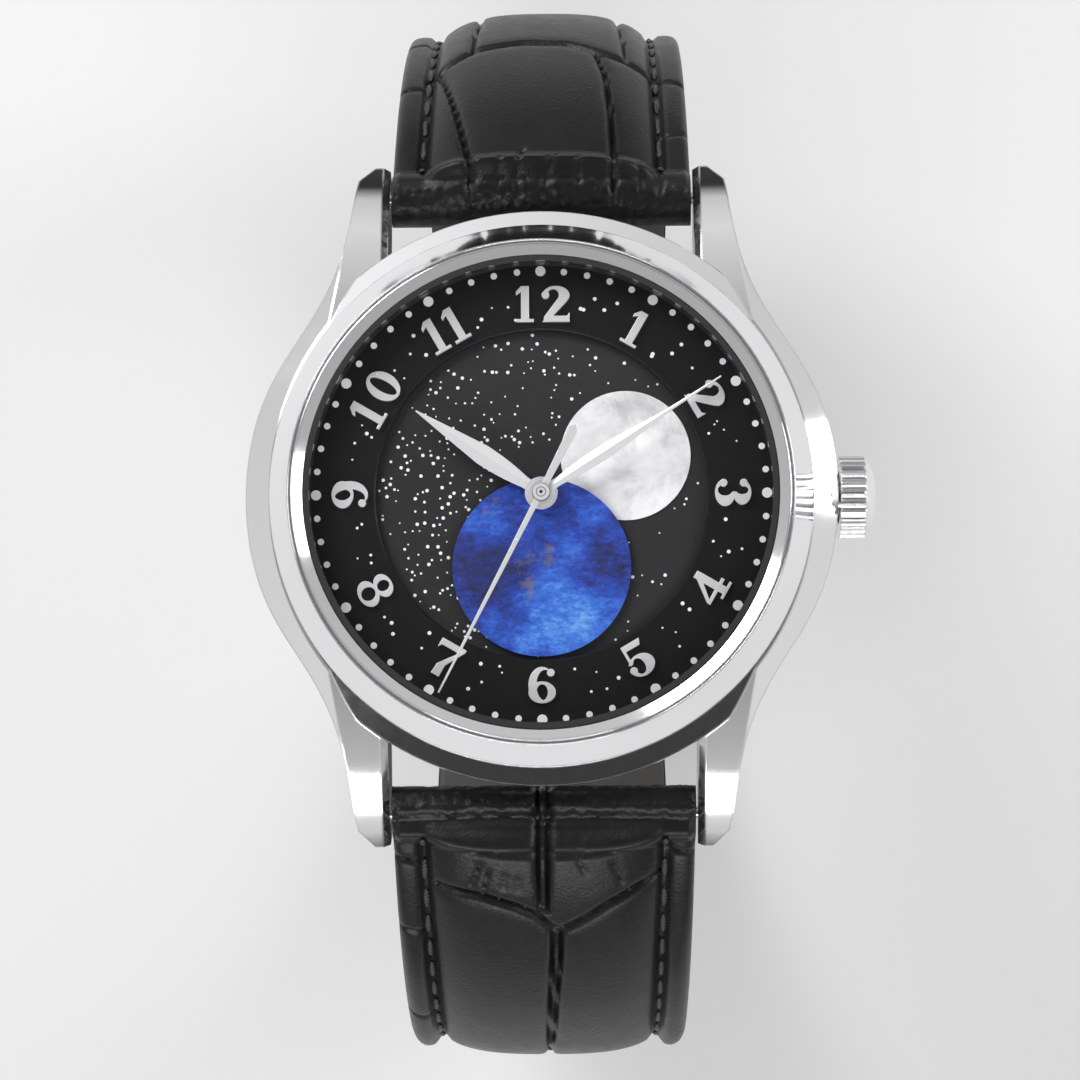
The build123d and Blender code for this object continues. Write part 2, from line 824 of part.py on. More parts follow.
with BuildPart() as centre_tube:
    disc(cup_radius, cup_bore, plate_top, cup_floor)
    disc(cup_radius, fixed_tube_bore, cup_floor, cup_floor_top)
    disc(cup_shoulder_radius, fixed_tube_bore, cup_floor_top, sky_disc_low - running / 2)
    disc(fixed_tube_radius, fixed_tube_bore, cup_floor_top, earth_top)
    minute_tip = cannon_module * (minute_wheel_teeth / 2 + 1)
    moon_tip = moon_module * (moon_wheel_teeth / 2 + 1)
    minute_spot = polar(motion_distance, minute_wheel_angle)
    moon_spot = polar(moon_distance, moon_wheel_angle)
    disc(minute_tip + wheel_gap, 0, plate_top, cup_floor, minute_spot, Mode.SUBTRACT)
    disc(moon_tip + wheel_gap, 0, plate_top, cup_floor, moon_spot, Mode.SUBTRACT)
save(centre_tube, "centre_tube")


# Sky disc, with an inward toothed ring below it, and the moon that it carries
sky_radius = 12.1
sky_bore = 1.12
sky_ring_rim = 7.5
moon_ring = 6.57
moon_radius = 4.6
moon_angle = 25.0

with BuildPart() as sky_disc:
    disc(sky_radius, sky_bore, sky_disc_low, sky_disc_top)
    disc(sky_ring_rim, 0, sky_ring_low, sky_disc_low)
    pitch = sky_module * sky_ring_teeth / 2
    root = pitch - ADDENDUM_SHARE * sky_module
    tip = pitch + DEDENDUM_SHARE * sky_module
    void = tooth_points(sky_ring_teeth, root, tip, moon_wheel_angle, VOID_ROOT_SHARE, VOID_TIP_SHARE)
    plate(void, sky_ring_low, sky_disc_low, Mode.SUBTRACT)
save(sky_disc, "sky_disc")

with BuildPart() as moon:
    disc(moon_radius, 0, sky_disc_top, moon_top, polar(moon_ring, moon_angle))
save(moon, "moon")


# Earth: a fixed domed plate held by the centre tube below the hands
earth_radius = 6.3
earth_centre = (0, -5.15)
earth_edge_height = 7.95

with BuildPart() as earth_plate:
    disc(earth_radius, 0, earth_low, earth_edge_height, earth_centre)
    with BuildSketch(Plane.XZ.offset(-earth_centre[1])) as section:
        with BuildLine():
            rise = earth_top - earth_edge_height
            drop = dome_drop(earth_radius, rise, earth_radius / 2)
            Line((0, earth_edge_height), (earth_radius, earth_edge_height))
            ThreePointArc(
                (earth_radius, earth_edge_height), (earth_radius / 2, earth_top - drop),
                (0, earth_top),
            )
            Line((0, earth_top), (0, earth_edge_height))
        make_face()
    revolve(section.sketch, axis=Axis((0, earth_centre[1], 0), (0, 0, 1)))
    disc(earth_collar_radius, 0, earth_low, earth_edge_height)
    disc(fixed_tube_radius, 0, earth_low, earth_top, mode=Mode.SUBTRACT)
save(earth_plate, "earth_plate")


# Leaf hands: each is a hub ring and a tapered blade with a raised middle line
hour_hand_length = 10.6
hour_hand_angle = 90 - 303.7
hour_hand_shares = ((0.13, 0.038), (0.47, 0.068), (1.0, 0.0))
hour_waist_share = 0.55
minute_hand_length = 15.1
minute_hand_angle = 90 - 57.3
minute_hand_shares = ((0.10, 0.021), (0.38, 0.035), (1.0, 0.0))
minute_waist_share = 0.26
seconds_hand_length = 15.8
seconds_tail = 5.0
seconds_hand_angle = 90 - 207.2
seconds_half_width = 0.13
seconds_tail_half_width = 0.34
hour_hub_radius = 1.15
minute_hub_radius = 0.95
seconds_hub_radius = 0.62
blade_edge = 0.12
blade_tip_half = 0.05


def leaf_blade(length, shares, waist_share, angle, low, ridge):
    # Two mirrored facets that meet in a ridge along the blade
    spine = [(length * along, length * half) for along, half in shares]
    edge = low + blade_edge
    start, belly, tip = spine
    tip = (tip[0], blade_tip_half)
    hand_plane = Plane(origin=(0, 0, low), x_dir=polar(1, angle) + (0,), z_dir=(0, 0, 1))
    with BuildSketch(hand_plane) as outline:
        with BuildLine():
            Line((0, start[1]), start)
            ThreePointArc(
                start, ((start[0] + belly[0]) / 2, start[1] + (belly[1] - start[1]) * 0.78), belly,
            )
            waist = ((belly[0] + tip[0]) / 2, belly[1] * waist_share)
            Line(belly, waist)
            Line(waist, tip)
            Line(tip, (tip[0], 0))
            Line((tip[0], 0), (0, 0))
            Line((0, 0), (0, start[1]))
        make_face()
        mirror(about=Plane.XZ)
    extrude(outline.sketch, amount=ridge - low)
    # The roof: cut both sides down from the ridge to the edge
    ridge_plane = Plane(origin=(0, 0, 0), x_dir=polar(1, angle + 90) + (0,), z_dir=polar(1, angle) + (0,))
    half = belly[1]
    for side in (1, -1):
        with BuildSketch(ridge_plane) as wedge:
            Polygon(
                (0, ridge),
                (side * half, edge),
                (side * 2 * half, edge),
                (side * 2 * half, ridge + overrun),
                (0, ridge + overrun),
                align=None,
            )
        extrude(wedge.sketch, amount=length + overrun, mode=Mode.SUBTRACT)


with BuildPart() as hour_hand:
    leaf_blade(
        hour_hand_length, hour_hand_shares, hour_waist_share, hour_hand_angle, hour_hand_low,
        hour_hand_top,
    )
    disc(hour_hub_radius, 0, hour_hand_low, hour_hand_top)
    disc(hour_tube_radius, 0, hour_hand_low, hour_hand_top, mode=Mode.SUBTRACT)
save(hour_hand, "hour_hand")

with BuildPart() as minute_hand:
    leaf_blade(
        minute_hand_length, minute_hand_shares, minute_waist_share, minute_hand_angle,
        minute_hand_low, minute_hand_top,
    )
    disc(minute_hub_radius, 0, minute_hand_low, minute_hand_top)
    disc(cannon_radius, 0, minute_hand_low, minute_hand_top, mode=Mode.SUBTRACT)
save(minute_hand, "minute_hand")

with BuildPart() as seconds_hand:
    hand_plane = Plane(
        origin=(0, 0, seconds_hand_low),
        x_dir=polar(1, seconds_hand_angle) + (0,),
        z_dir=(0, 0, 1),
    )
    with BuildSketch(hand_plane) as outline:
        Polygon(
            (-seconds_tail - seconds_tail_half_width, 0),
            (-seconds_tail, seconds_tail_half_width),
            (0, seconds_half_width * 1.6),
            (seconds_hand_length, seconds_half_width / 2),
            (seconds_hand_length, -seconds_half_width / 2),
            (0, -seconds_half_width * 1.6),
            (-seconds_tail, -seconds_tail_half_width),
            align=None,
        )
    extrude(outline.sketch, amount=seconds_hand_top - seconds_hand_low)
    disc(seconds_hub_radius, 0, seconds_hand_low, seconds_hand_top + loose)
    disc(seconds_arbor_radius, 0, seconds_hand_low - overrun, seconds_hand_top, mode=Mode.SUBTRACT)
save(seconds_hand, "seconds_hand")


# Going train: barrel, centre, third, fourth and escape wheels between plate and bridges
barrel_teeth = 80
centre_pinion_teeth = 10
centre_teeth = 80
third_pinion_teeth = 10
third_teeth = 75
fourth_pinion_teeth = 10
fourth_teeth = 80
escape_pinion_teeth = 8
escape_teeth = 15
barrel_module = 0.14
train_distance = 5.4
barrel_distance = barrel_module * (barrel_teeth + centre_pinion_teeth) / 2
centre_module = 2 * train_distance / (centre_teeth + third_pinion_teeth)
third_module = 2 * train_distance / (third_teeth + fourth_pinion_teeth)
fourth_module = centre_module
escape_distance = fourth_module * (fourth_teeth + escape_pinion_teeth) / 2
barrel_angle = 65.0
third_angle = 275.0
escape_angle = 215.0
balance_angle = 170.0
balance_distance = 7.9
pallet_distance = 2.75
barrel_spot = polar(barrel_distance, barrel_angle)
third_spot = polar(train_distance, third_angle)
escape_spot = polar(escape_distance, escape_angle)
balance_spot = polar(balance_distance, balance_angle)
lever_angle = degrees(atan2(balance_spot[1] - escape_spot[1], balance_spot[0] - escape_spot[0]))
pallet_spot = polar(pallet_distance, lever_angle, escape_spot)
pivot_low = 2.35
pivot_high = 5.6
arbor_radius = 0.2
fourth_low = 2.95
fourth_high = 3.1
fourth_pinion_high = 3.5
third_low = 3.24
third_high = 3.42
third_pinion_low = 3.7
third_pinion_high = 4.0
centre_low = 3.76
centre_high = 3.94
centre_pinion_high = 4.62
barrel_low = 4.12
barrel_floor_top = 4.45
barrel_top = 5.42
barrel_wall_radius = 5.35
barrel_bore_radius = 5.1
spring_low = 4.55
escape_low = 4.98
escape_high = 5.12
recess_top = 5.4
wheel_rim = 0.45
wheel_hub = 0.8
spoke_width = 0.34

with BuildPart() as barrel:
    toothed(
        barrel_teeth, barrel_module, barrel_low, barrel_floor_top,
        barrel_angle + 180 + 180 / barrel_teeth, barrel_spot,
    )
    disc(barrel_wall_radius, barrel_bore_radius, barrel_floor_top, barrel_top, barrel_spot)
    disc(stem_radius + running, 0, barrel_low, barrel_floor_top, barrel_spot, Mode.SUBTRACT)
save(barrel, "barrel")

with BuildPart() as barrel_cover:
    disc(barrel_wall_radius, stem_radius + running, barrel_top, barrel_top + loose, barrel_spot)
save(barrel_cover, "barrel_cover")

mainspring_inner = 1.05
mainspring_turns = 8
mainspring_thickness = 0.18
arbor_core_radius = 0.9

with BuildPart() as mainspring:
    spiral(
        mainspring_inner,
        barrel_bore_radius - mainspring_thickness / 2,
        mainspring_turns,
        mainspring_thickness,
        spring_low,
        barrel_top - loose,
        barrel_spot,
    )
save(mainspring, "mainspring")

ratchet_teeth = 44
crown_wheel_teeth = 28
winding_module = 0.2
winding_distance = winding_module * (ratchet_teeth + crown_wheel_teeth) / 2
ratchet_low = 3.22
ratchet_high = 3.44
crown_wheel_x = barrel_spot[0] + sqrt(winding_distance**2 - barrel_spot[1] ** 2)
crown_wheel_spot = (crown_wheel_x, 0)
winding_line = degrees(atan2(-barrel_spot[1], crown_wheel_x - barrel_spot[0]))

with BuildPart() as barrel_arbor:
    disc(stem_radius, 0, pivot_low, pivot_high, barrel_spot)
    disc(arbor_core_radius, 0, spring_low, barrel_top - loose, barrel_spot)
save(barrel_arbor, "barrel_arbor")

with BuildPart() as ratchet_wheel:
    toothed(
        ratchet_teeth, winding_module, ratchet_low, ratchet_high, winding_line, barrel_spot,
        stem_radius,
    )
save(ratchet_wheel, "ratchet_wheel")

with BuildPart() as crown_wheel:
    mesh_turn = winding_line + 180 + 180 / crown_wheel_teeth
    toothed(
        crown_wheel_teeth, winding_module, ratchet_low, ratchet_high, mesh_turn, crown_wheel_spot,
        stem_radius + running,
    )
save(crown_wheel, "crown_wheel")

with BuildPart() as centre_wheel:
    toothed(centre_teeth, centre_module, centre_low, centre_high, third_angle)
    pitch = centre_module * centre_teeth / 2
    spokes(wheel_hub, pitch - wheel_rim, 5, spoke_width, centre_low, centre_high)
    toothed(centre_pinion_teeth, barrel_module, centre_high, centre_pinion_high, barrel_angle)
    disc(centre_arbor_radius, 0, centre_pinion_high, hour_hand_low - wheel_gap)
    disc(centre_arbor_bore, 0, centre_low - loose, hour_hand_low, mode=Mode.SUBTRACT)
save(centre_wheel, "centre_wheel")

with BuildPart() as third_wheel:
    toothed(third_teeth, third_module, third_low, third_high, third_angle + 180, third_spot)
    pitch = third_module * third_teeth / 2
    spokes(wheel_hub, pitch - wheel_rim, 5, spoke_width, third_low, third_high, third_spot, third_angle)
    mesh_turn = third_angle + 180 + 180 / third_pinion_teeth
    toothed(third_pinion_teeth, centre_module, third_pinion_low, third_pinion_high, mesh_turn, third_spot)
    disc(arbor_radius, 0, pivot_low, pivot_high, third_spot)
save(third_wheel, "third_wheel")

with BuildPart() as fourth_wheel:
    toothed(fourth_teeth, fourth_module, fourth_low, fourth_high, escape_angle)
    pitch = fourth_module * fourth_teeth / 2
    spokes(wheel_hub, pitch - wheel_rim, 5, spoke_width, fourth_low, fourth_high, (0, 0), 36)
    mesh_turn = third_angle + 180 / fourth_pinion_teeth
    toothed(fourth_pinion_teeth, third_module, fourth_high, fourth_pinion_high, mesh_turn)
    disc(arbor_radius, 0, pivot_low, seconds_hand_top)
save(fourth_wheel, "fourth_wheel")

escape_tip_radius = 2.1
escape_root_radius = 1.65
escape_hub_radius = 0.55
escape_hook_share = 0.42

with BuildPart() as escape_wheel:
    points = []
    for tooth in range(escape_teeth):
        angle = lever_angle + (tooth + 0.5) * 360 / escape_teeth
        points.append(polar(escape_root_radius, angle - 180 / escape_teeth, escape_spot))
        points.append(
            polar(escape_tip_radius, angle + escape_hook_share * 180 / escape_teeth, escape_spot),
        )
        points.append(polar(escape_root_radius, angle + 90 / escape_teeth, escape_spot))
    plate(points, escape_low, escape_high)
    spokes(
        escape_hub_radius, escape_root_radius - wheel_gap, 4, spoke_width / 2, escape_low,
        escape_high, escape_spot,
    )
    mesh_turn = escape_angle + 180 + 180 / escape_pinion_teeth
    toothed(
        escape_pinion_teeth, fourth_module, fourth_low, fourth_high + wheel_gap, mesh_turn,
        escape_spot,
    )
    disc(arbor_radius, 0, pivot_low, pivot_high, escape_spot)
save(escape_wheel, "escape_wheel")


# Pallet fork, with its two stones and its notched lever
fork_length = 2.2
fork_half = 0.14
pallet_reach = 1.35
pallet_drop = 0.72
stone_half = 0.12
horn_half = 0.42
notch_half = 0.2
notch_length = 0.4

with BuildPart() as pallet_fork:
    fork_plane = Plane(
        origin=pallet_spot + (escape_low,), x_dir=polar(1, lever_angle) + (0,), z_dir=(0, 0, 1),
    )
    with BuildSketch(fork_plane) as outline:
        Polygon(
            (0, fork_half), (fork_length, fork_half), (fork_length, -fork_half), (0, -fork_half),
            align=None,
        )
        for side in (1, -1):
            Polygon(
                (0, -side * fork_half),
                (fork_half, side * fork_half),
                (-pallet_drop + stone_half, side * (pallet_reach + stone_half)),
                (-pallet_drop - stone_half, side * pallet_reach),
                (-fork_half * 2, side * fork_half),
                align=None,
            )
            Polygon(
                (fork_length - notch_length, side * notch_half / 4),
                (fork_length - notch_length, side * horn_half),
                (fork_length, side * horn_half),
                (fork_length, side * notch_half),
                align=None,
            )
        Circle(2 * arbor_radius)
        with Locations((fork_length, 0)):
            Rectangle(notch_length, 2 * notch_half, mode=Mode.SUBTRACT)
    extrude(outline.sketch, amount=escape_high - escape_low)
    disc(arbor_radius, 0, escape_low - 2 * loose, pivot_high, pallet_spot)
save(pallet_fork, "pallet_fork")


# Balance wheel with its staff, roller and impulse pin, and the spiral hairspring
balance_radius = 4.25
balance_rim = 0.55
balance_low = 4.1
balance_high = 4.36
roller_radius = 0.8
roller_low = 4.55
roller_high = 4.75
pin_distance = 0.55
pin_radius = 0.1
hairspring_low = 3.42
hairspring_high = 3.56
hairspring_inner = 0.5
hairspring_outer = 2.35
hairspring_turns = 9
hairspring_thickness = 0.05
collet_radius = 0.44

with BuildPart() as balance_wheel:
    disc(balance_radius, balance_radius - balance_rim, balance_low, balance_high, balance_spot)
    for arm in range(3):
        angle = lever_angle + 60 + 120 * arm
        side = polar(spoke_width / 2, angle + 90)
        outer = polar(balance_radius - balance_rim / 2, angle, balance_spot)
        plate(
            (
                (balance_spot[0] + side[0], balance_spot[1] + side[1]),
                (outer[0] + side[0], outer[1] + side[1]),
                (outer[0] - side[0], outer[1] - side[1]),
                (balance_spot[0] - side[0], balance_spot[1] - side[1]),
            ),
            balance_low,
            balance_high,
        )
    disc(wheel_hub, 0, balance_low, balance_high, balance_spot)
    disc(collet_radius, 0, hairspring_low - loose, balance_low, balance_spot)
    disc(arbor_radius, 0, pivot_low, pivot_high, balance_spot)
    disc(roller_radius, 0, roller_low, roller_high, balance_spot)
    disc(pin_radius, 0, roller_high, escape_high, polar(pin_distance, lever_angle + 180, balance_spot))
save(balance_wheel, "balance_wheel")

with BuildPart() as hairspring:
    spiral(
        hairspring_inner,
        hairspring_outer,
        hairspring_turns,
        hairspring_thickness,
        hairspring_low,
        hairspring_high,
        balance_spot,
        lever_angle,
    )
save(hairspring, "hairspring")


# Winding pinion and sliding pinion on the stem
winding_pinion_teeth = 12
winding_pinion_tip = 1.14
winding_pinion_root = 0.85
winding_pinion_start = 9.15
winding_pinion_end = 9.95
sliding_start = 7.95
sliding_end = 8.95


def stem_toothed(teeth, root, tip, start, end):
    stem_plane = Plane(origin=(start, 0, stem_height), x_dir=(0, 1, 0), z_dir=(1, 0, 0))
    with BuildSketch(stem_plane) as outline:
        Polygon(*tooth_points(teeth, root, tip, 0, ROOT_SHARE, TIP_SHARE), align=None)
        Circle(stem_radius + running, mode=Mode.SUBTRACT)
    extrude(outline.sketch, amount=end - start)


with BuildPart() as winding_pinion:
    stem_toothed(
        winding_pinion_teeth, winding_pinion_root, winding_pinion_tip, winding_pinion_start,
        winding_pinion_end,
    )
save(winding_pinion, "winding_pinion")

with BuildPart() as sliding_pinion:
    stem_toothed(
        winding_pinion_teeth, winding_pinion_root, winding_pinion_root + loose, sliding_start,
        sliding_end,
    )
    stem_disc(
        winding_pinion_root - loose, stem_radius + running, sliding_start - 3 * loose,
        sliding_start,
    )
save(sliding_pinion, "sliding_pinion")


# Main plate, bridges, jewels and screws
jewel_radius = 0.6
jewel_thickness = 0.3
bridge_low = 2.2
bridge_high = 2.85
bridge_radius = 12.55
foot_radius = 1.2
foot_inset = 1.4
escape_foot_inset = 2.95
cock_foot_inset = 2.3
small_foot_radius = 0.7
screw_head_radius = 0.62
screw_head_low = 2.12
screw_head_high = 2.4
screw_radius = 0.32
screw_end = 4.4
screw_slot = 0.16
stem_pit_radius = 1.3
stem_pit_start = 6.6
stem_pit_end = 10.25
lower_pivots = (third_spot, escape_spot, (0, 0), balance_spot)

barrel_bridge_feet = (
    (polar(movement_radius - foot_inset, 112), foot_radius),
    (polar(movement_radius - foot_inset, 24), foot_radius),
    (polar(movement_radius - foot_inset, -13), small_foot_radius),
)
train_bridge_feet = (
    (polar(movement_radius - foot_inset, -28), foot_radius),
    (polar(movement_radius - foot_inset, 250), foot_radius),
    (polar(movement_radius - escape_foot_inset, 222), foot_radius),
)
cock_foot = polar(movement_radius - cock_foot_inset, 133)
BARREL_BRIDGE_SHARES = (
    (-0.36, 0.135), (0.168, 0.135), (0.324, -0.25), (1.1, -0.25), (1.1, 1.1), (-0.36, 1.1),
)
TRAIN_BRIDGE_SHARES = (
    (-0.20, 0.113), (0.148, 0.113), (0.305, -0.27), (1.1, -0.27), (1.1, -1.1),
    (-0.75, -1.1), (-0.75, -0.42), (-0.48, -0.31), (-0.44, -0.14),
)


def outline_points(shares):
    return [(movement_radius * x, movement_radius * y) for x, y in shares]


def bridge_plate(shares, feet):
    with BuildSketch(Plane.XY.offset(bridge_low)) as outline:
        Polygon(*outline_points(shares), align=None)
        Circle(bridge_radius, mode=Mode.INTERSECT)
    extrude(outline.sketch, amount=bridge_high - bridge_low)
    for spot, radius in feet:
        disc(radius, 0, bridge_high, plate_bottom, spot)
        disc(screw_head_radius + running, 0, bridge_low, screw_head_high, spot, Mode.SUBTRACT)
        disc(screw_radius + running, 0, screw_head_high, screw_end, spot, Mode.SUBTRACT)


with BuildPart() as main_plate:
    disc(movement_radius, 0, plate_bottom, plate_top)
    barrel_tip = barrel_module * (barrel_teeth / 2 + 1)
    disc(barrel_tip + wheel_gap, 0, plate_bottom, barrel_top + 2 * wheel_gap, barrel_spot, Mode.SUBTRACT)
    disc(stem_radius + running, 0, plate_bottom, pivot_high + running, barrel_spot, Mode.SUBTRACT)
    disc(centre_arbor_radius + running, 0, plate_bottom, plate_top, mode=Mode.SUBTRACT)
    disc(escape_tip_radius + wheel_gap, 0, plate_bottom, recess_top, escape_spot, Mode.SUBTRACT)
    disc(fork_length + 2 * wheel_gap, 0, plate_bottom, recess_top, pallet_spot, Mode.SUBTRACT)
    disc(roller_radius + wheel_gap, 0, plate_bottom, recess_top, balance_spot, Mode.SUBTRACT)
    stem_disc(stem_pit_radius, 0, stem_pit_start, stem_pit_end, Mode.SUBTRACT)
    stem_disc(stem_radius + running, 0, stem_pit_end, movement_radius + overrun, Mode.SUBTRACT)
    for spot in (escape_spot, pallet_spot, balance_spot):
        disc(jewel_radius, 0, recess_top, recess_top + jewel_thickness, spot, Mode.SUBTRACT)
    disc(jewel_radius, 0, plate_bottom, pivot_high + running, third_spot, Mode.SUBTRACT)
    disc(stud_radius, 0, plate_top, minute_pinion_high, minute_spot)
    disc(stud_radius, 0, plate_top, sky_disc_low - running, moon_spot)
    for angle in dial_foot_angles:
        disc(
            dial_foot_radius + running, 0, dial_seat - dial_foot_depth - loose, plate_top,
            polar(dial_foot_ring, angle), Mode.SUBTRACT,
        )
save(main_plate, "main_plate")

with BuildPart() as barrel_bridge:
    bridge_plate(BARREL_BRIDGE_SHARES, barrel_bridge_feet)
    disc(stem_radius + running, 0, bridge_low, bridge_high, barrel_spot, Mode.SUBTRACT)
    disc(stem_radius, 0, bridge_high, ratchet_high, crown_wheel_spot)
save(barrel_bridge, "barrel_bridge")

with BuildPart() as train_bridge:
    bridge_plate(TRAIN_BRIDGE_SHARES, train_bridge_feet)
    for spot in (third_spot, escape_spot, (0, 0)):
        disc(jewel_radius, 0, bridge_high - jewel_thickness, bridge_high, spot, Mode.SUBTRACT)
        disc(arbor_radius + running, 0, pivot_low - running, bridge_high, spot, Mode.SUBTRACT)
save(train_bridge, "train_bridge")

cock_end_radius = 1.45
cock_foot_radius = 1.85

with BuildPart() as balance_cock:
    with BuildSketch(Plane.XY.offset(bridge_low)) as outline:
        with Locations(balance_spot):
            Circle(cock_end_radius)
        with Locations(cock_foot):
            Circle(cock_foot_radius)
        make_hull()
        Circle(bridge_radius, mode=Mode.INTERSECT)
    extrude(outline.sketch, amount=bridge_high - bridge_low)
    disc(cock_foot_radius, 0, bridge_high, plate_bottom, cock_foot)
    disc(screw_head_radius + running, 0, bridge_low, screw_head_high, cock_foot, Mode.SUBTRACT)
    disc(screw_radius + running, 0, screw_head_high, screw_end, cock_foot, Mode.SUBTRACT)
    disc(jewel_radius, 0, bridge_high - jewel_thickness, bridge_high, balance_spot, Mode.SUBTRACT)
    disc(arbor_radius + running, 0, pivot_low - running, bridge_high, balance_spot, Mode.SUBTRACT)
save(balance_cock, "balance_cock")

with BuildPart() as jewels:
    for spot in (escape_spot, pallet_spot, balance_spot):
        disc(jewel_radius, arbor_radius + running, recess_top, recess_top + jewel_thickness, spot)
    disc(jewel_radius, arbor_radius + running, plate_bottom, plate_bottom + jewel_thickness, third_spot)
    for spot in lower_pivots:
        disc(jewel_radius, arbor_radius + running, bridge_high - jewel_thickness, bridge_high, spot)
save(jewels, "jewels")

with BuildPart() as bridge_screws:
    spots = [spot for spot, radius in barrel_bridge_feet + train_bridge_feet] + [cock_foot]
    for spot in spots:
        disc(screw_head_radius, 0, screw_head_low, screw_head_high, spot)
        disc(screw_radius, 0, screw_head_high, screw_end, spot)
        low = (spot[0] - screw_head_radius, spot[1] - screw_slot / 2, screw_head_low)
        high = (spot[0] + screw_head_radius, spot[1] + screw_slot / 2, screw_head_low + screw_slot)
        block(low, high, Mode.SUBTRACT)
save(bridge_screws, "bridge_screws")


# Self-winding rotor, a half disc with a heavy rim, on its bearing at the centre
rotor_low = 1.32
rotor_web_top = 1.62
rotor_rim_top = 1.98
rotor_radius = 12.3
rotor_rim_radius = 10.3
rotor_hub_radius = 2.0
bearing_radius = 1.0
bearing_head_radius = 1.45
bearing_head_low = 1.18

with BuildPart() as rotor:
    disc(rotor_radius, 0, rotor_low, rotor_web_top)
    disc(rotor_radius, rotor_rim_radius, rotor_web_top, rotor_rim_top)
    side = 2 * rotor_radius
    block((-side, 0, rotor_low), (side, side, rotor_rim_top), Mode.SUBTRACT)
    for turn in range(3):
        angle = 270 + 48 * (turn - 1)
        window = polar(0.52 * rotor_radius, angle)
        disc(0.14 * rotor_radius, 0, rotor_low, rotor_web_top, window, Mode.SUBTRACT)
    disc(rotor_hub_radius, 0, rotor_low, rotor_web_top)
    disc(bearing_radius + running, 0, rotor_low, rotor_web_top, mode=Mode.SUBTRACT)
save(rotor, "rotor")

with BuildPart() as rotor_bearing:
    disc(bearing_head_radius, 0, bearing_head_low, rotor_low - running)
    disc(bearing_radius, 0, rotor_low - running, bridge_low)
    disc(bearing_head_radius, 0, rotor_web_top + running, bridge_low)
save(rotor_bearing, "rotor_bearing")


# Strap path, seen along X: a bottom arc about the middle of the two bars, then a tight and
# a gentle side arc up to the bar. Each arc is (centre, radius, start angle, end angle, side).
def unit(angle):
    return (cos(radians(angle)), sin(radians(angle)))


loop_middle = (0, bar_height)
bottom_angle = -90.0
span_end = bottom_angle + loop_span
side_end = bottom_angle + side_heading
lug_end = bottom_angle + lug_heading
u_span = unit(span_end)
u_side = unit(side_end)
u_lug = unit(lug_end)
tight = (u_side[0] - u_span[0], u_side[1] - u_span[1])
gentle = (u_lug[0] - u_side[0], u_lug[1] - u_side[1])
rest_y = bar_reach - loop_radius * u_span[0]
rest_z = -loop_radius * u_span[1]
cross = tight[0] * gentle[1] - tight[1] * gentle[0]
side_radius = (rest_y * gentle[1] - rest_z * gentle[0]) / cross
upper_radius = (tight[0] * rest_z - tight[1] * rest_y) / cross
side_centre = polar(loop_radius - side_radius, span_end, loop_middle)
upper_centre = polar(side_radius - upper_radius, side_end, side_centre)
print("side arc radius", round(side_radius, 2), "upper arc radius", round(upper_radius, 2))

buckle_angle = 4.4
buckle_knuckle = 1.45
twelve_arcs = (
    (loop_middle, loop_radius, bottom_angle + buckle_angle, span_end, 1),
    (side_centre, side_radius, span_end, side_end, 1),
    (upper_centre, upper_radius, side_end, lug_end, 1),
)


def edge_points(arc, rises):
    centre, radius, start, end, side = arc
    angles = (start, (start + end) / 2, end)
    points = []
    for angle, rise in zip(angles, rises):
        y, z = polar(radius + rise, angle, centre)
        points.append((side * y, z))
    return points


def band(arcs, low_rises, high_rises, half_width):
    # A layer of leather between two rises over the path, as wide as asked
    with BuildSketch(Plane.YZ) as section:
        with BuildLine():
            low = [edge_points(arc, rises) for arc, rises in zip(arcs, low_rises)]
            high = [edge_points(arc, rises) for arc, rises in zip(arcs, high_rises)]
            for points in low + high:
                ThreePointArc(*points)
            Line(low[0][0], high[0][0])
            Line(low[-1][-1], high[-1][-1])
        make_face()
    extrude(section.sketch, amount=half_width, both=True)


def taper(lug_half, side_half, tail_half):
    # Trims what is built so far to the strap's width, which narrows down the sides
    side_z = side_centre[1]
    low_z = bar_height - loop_radius
    under = bar_height - 2 * loop_radius
    over = bar_height + loop_radius
    right = (
        (lug_half, over), (lug_half, bar_height), (side_half, side_z), (tail_half, low_z), (tail_half, under),
    )
    left = tuple((-x, z) for x, z in right[::-1])
    with BuildSketch(Plane.XZ) as front:
        Polygon(*(right + left), align=None)
    extrude(front.sketch, amount=2 * loop_radius, both=True, mode=Mode.INTERSECT)


def across(radius, y, z, start, end, mode=Mode.ADD):
    # A round along X
    with BuildSketch(Plane.YZ.offset(start)) as outline:
        with Locations((y, z)):
            Circle(radius)
    extrude(outline.sketch, amount=end - start, mode=mode)


hinge_radius = loop_radius + edge_half - buckle_knuckle
hinge_spot = polar(hinge_radius, bottom_angle + buckle_angle, loop_middle)
strap_bore = strap_bar_radius + loose
tang_half = 1.0
tang_slot_half = 1.3
tang_slot_length = 3.2
lining_start = 7.5
pad_start = 41.0
strap_half = 2 * case_radius
flat = (edge_half, edge_half, edge_half)
split = lining_thickness - edge_half
lining_top = (split, split, split)
lining_low = (-edge_half, -edge_half, -edge_half)


def trimmed(arcs, start=None, end=None):
    arcs = list(arcs)
    if start is not None:
        arcs[0] = arcs[0][:2] + (start,) + arcs[0][3:]
    if end is not None:
        arcs[-1] = arcs[-1][:3] + (end,) + arcs[-1][4:]
    return arcs


pad_end = lug_end - 5.0
pad_arcs = trimmed(twelve_arcs, bottom_angle + pad_start, pad_end)
PAD_RISE_SHARES = ((0.0, 0.04, 0.10), (0.10, 0.85, 1.0), (1.0, 1.0, 0.7))
PAD_STEP_SHARE = 0.45


def pad_rises(shares):
    return [tuple(edge_half + pad_rise * share for share in row) for row in shares]


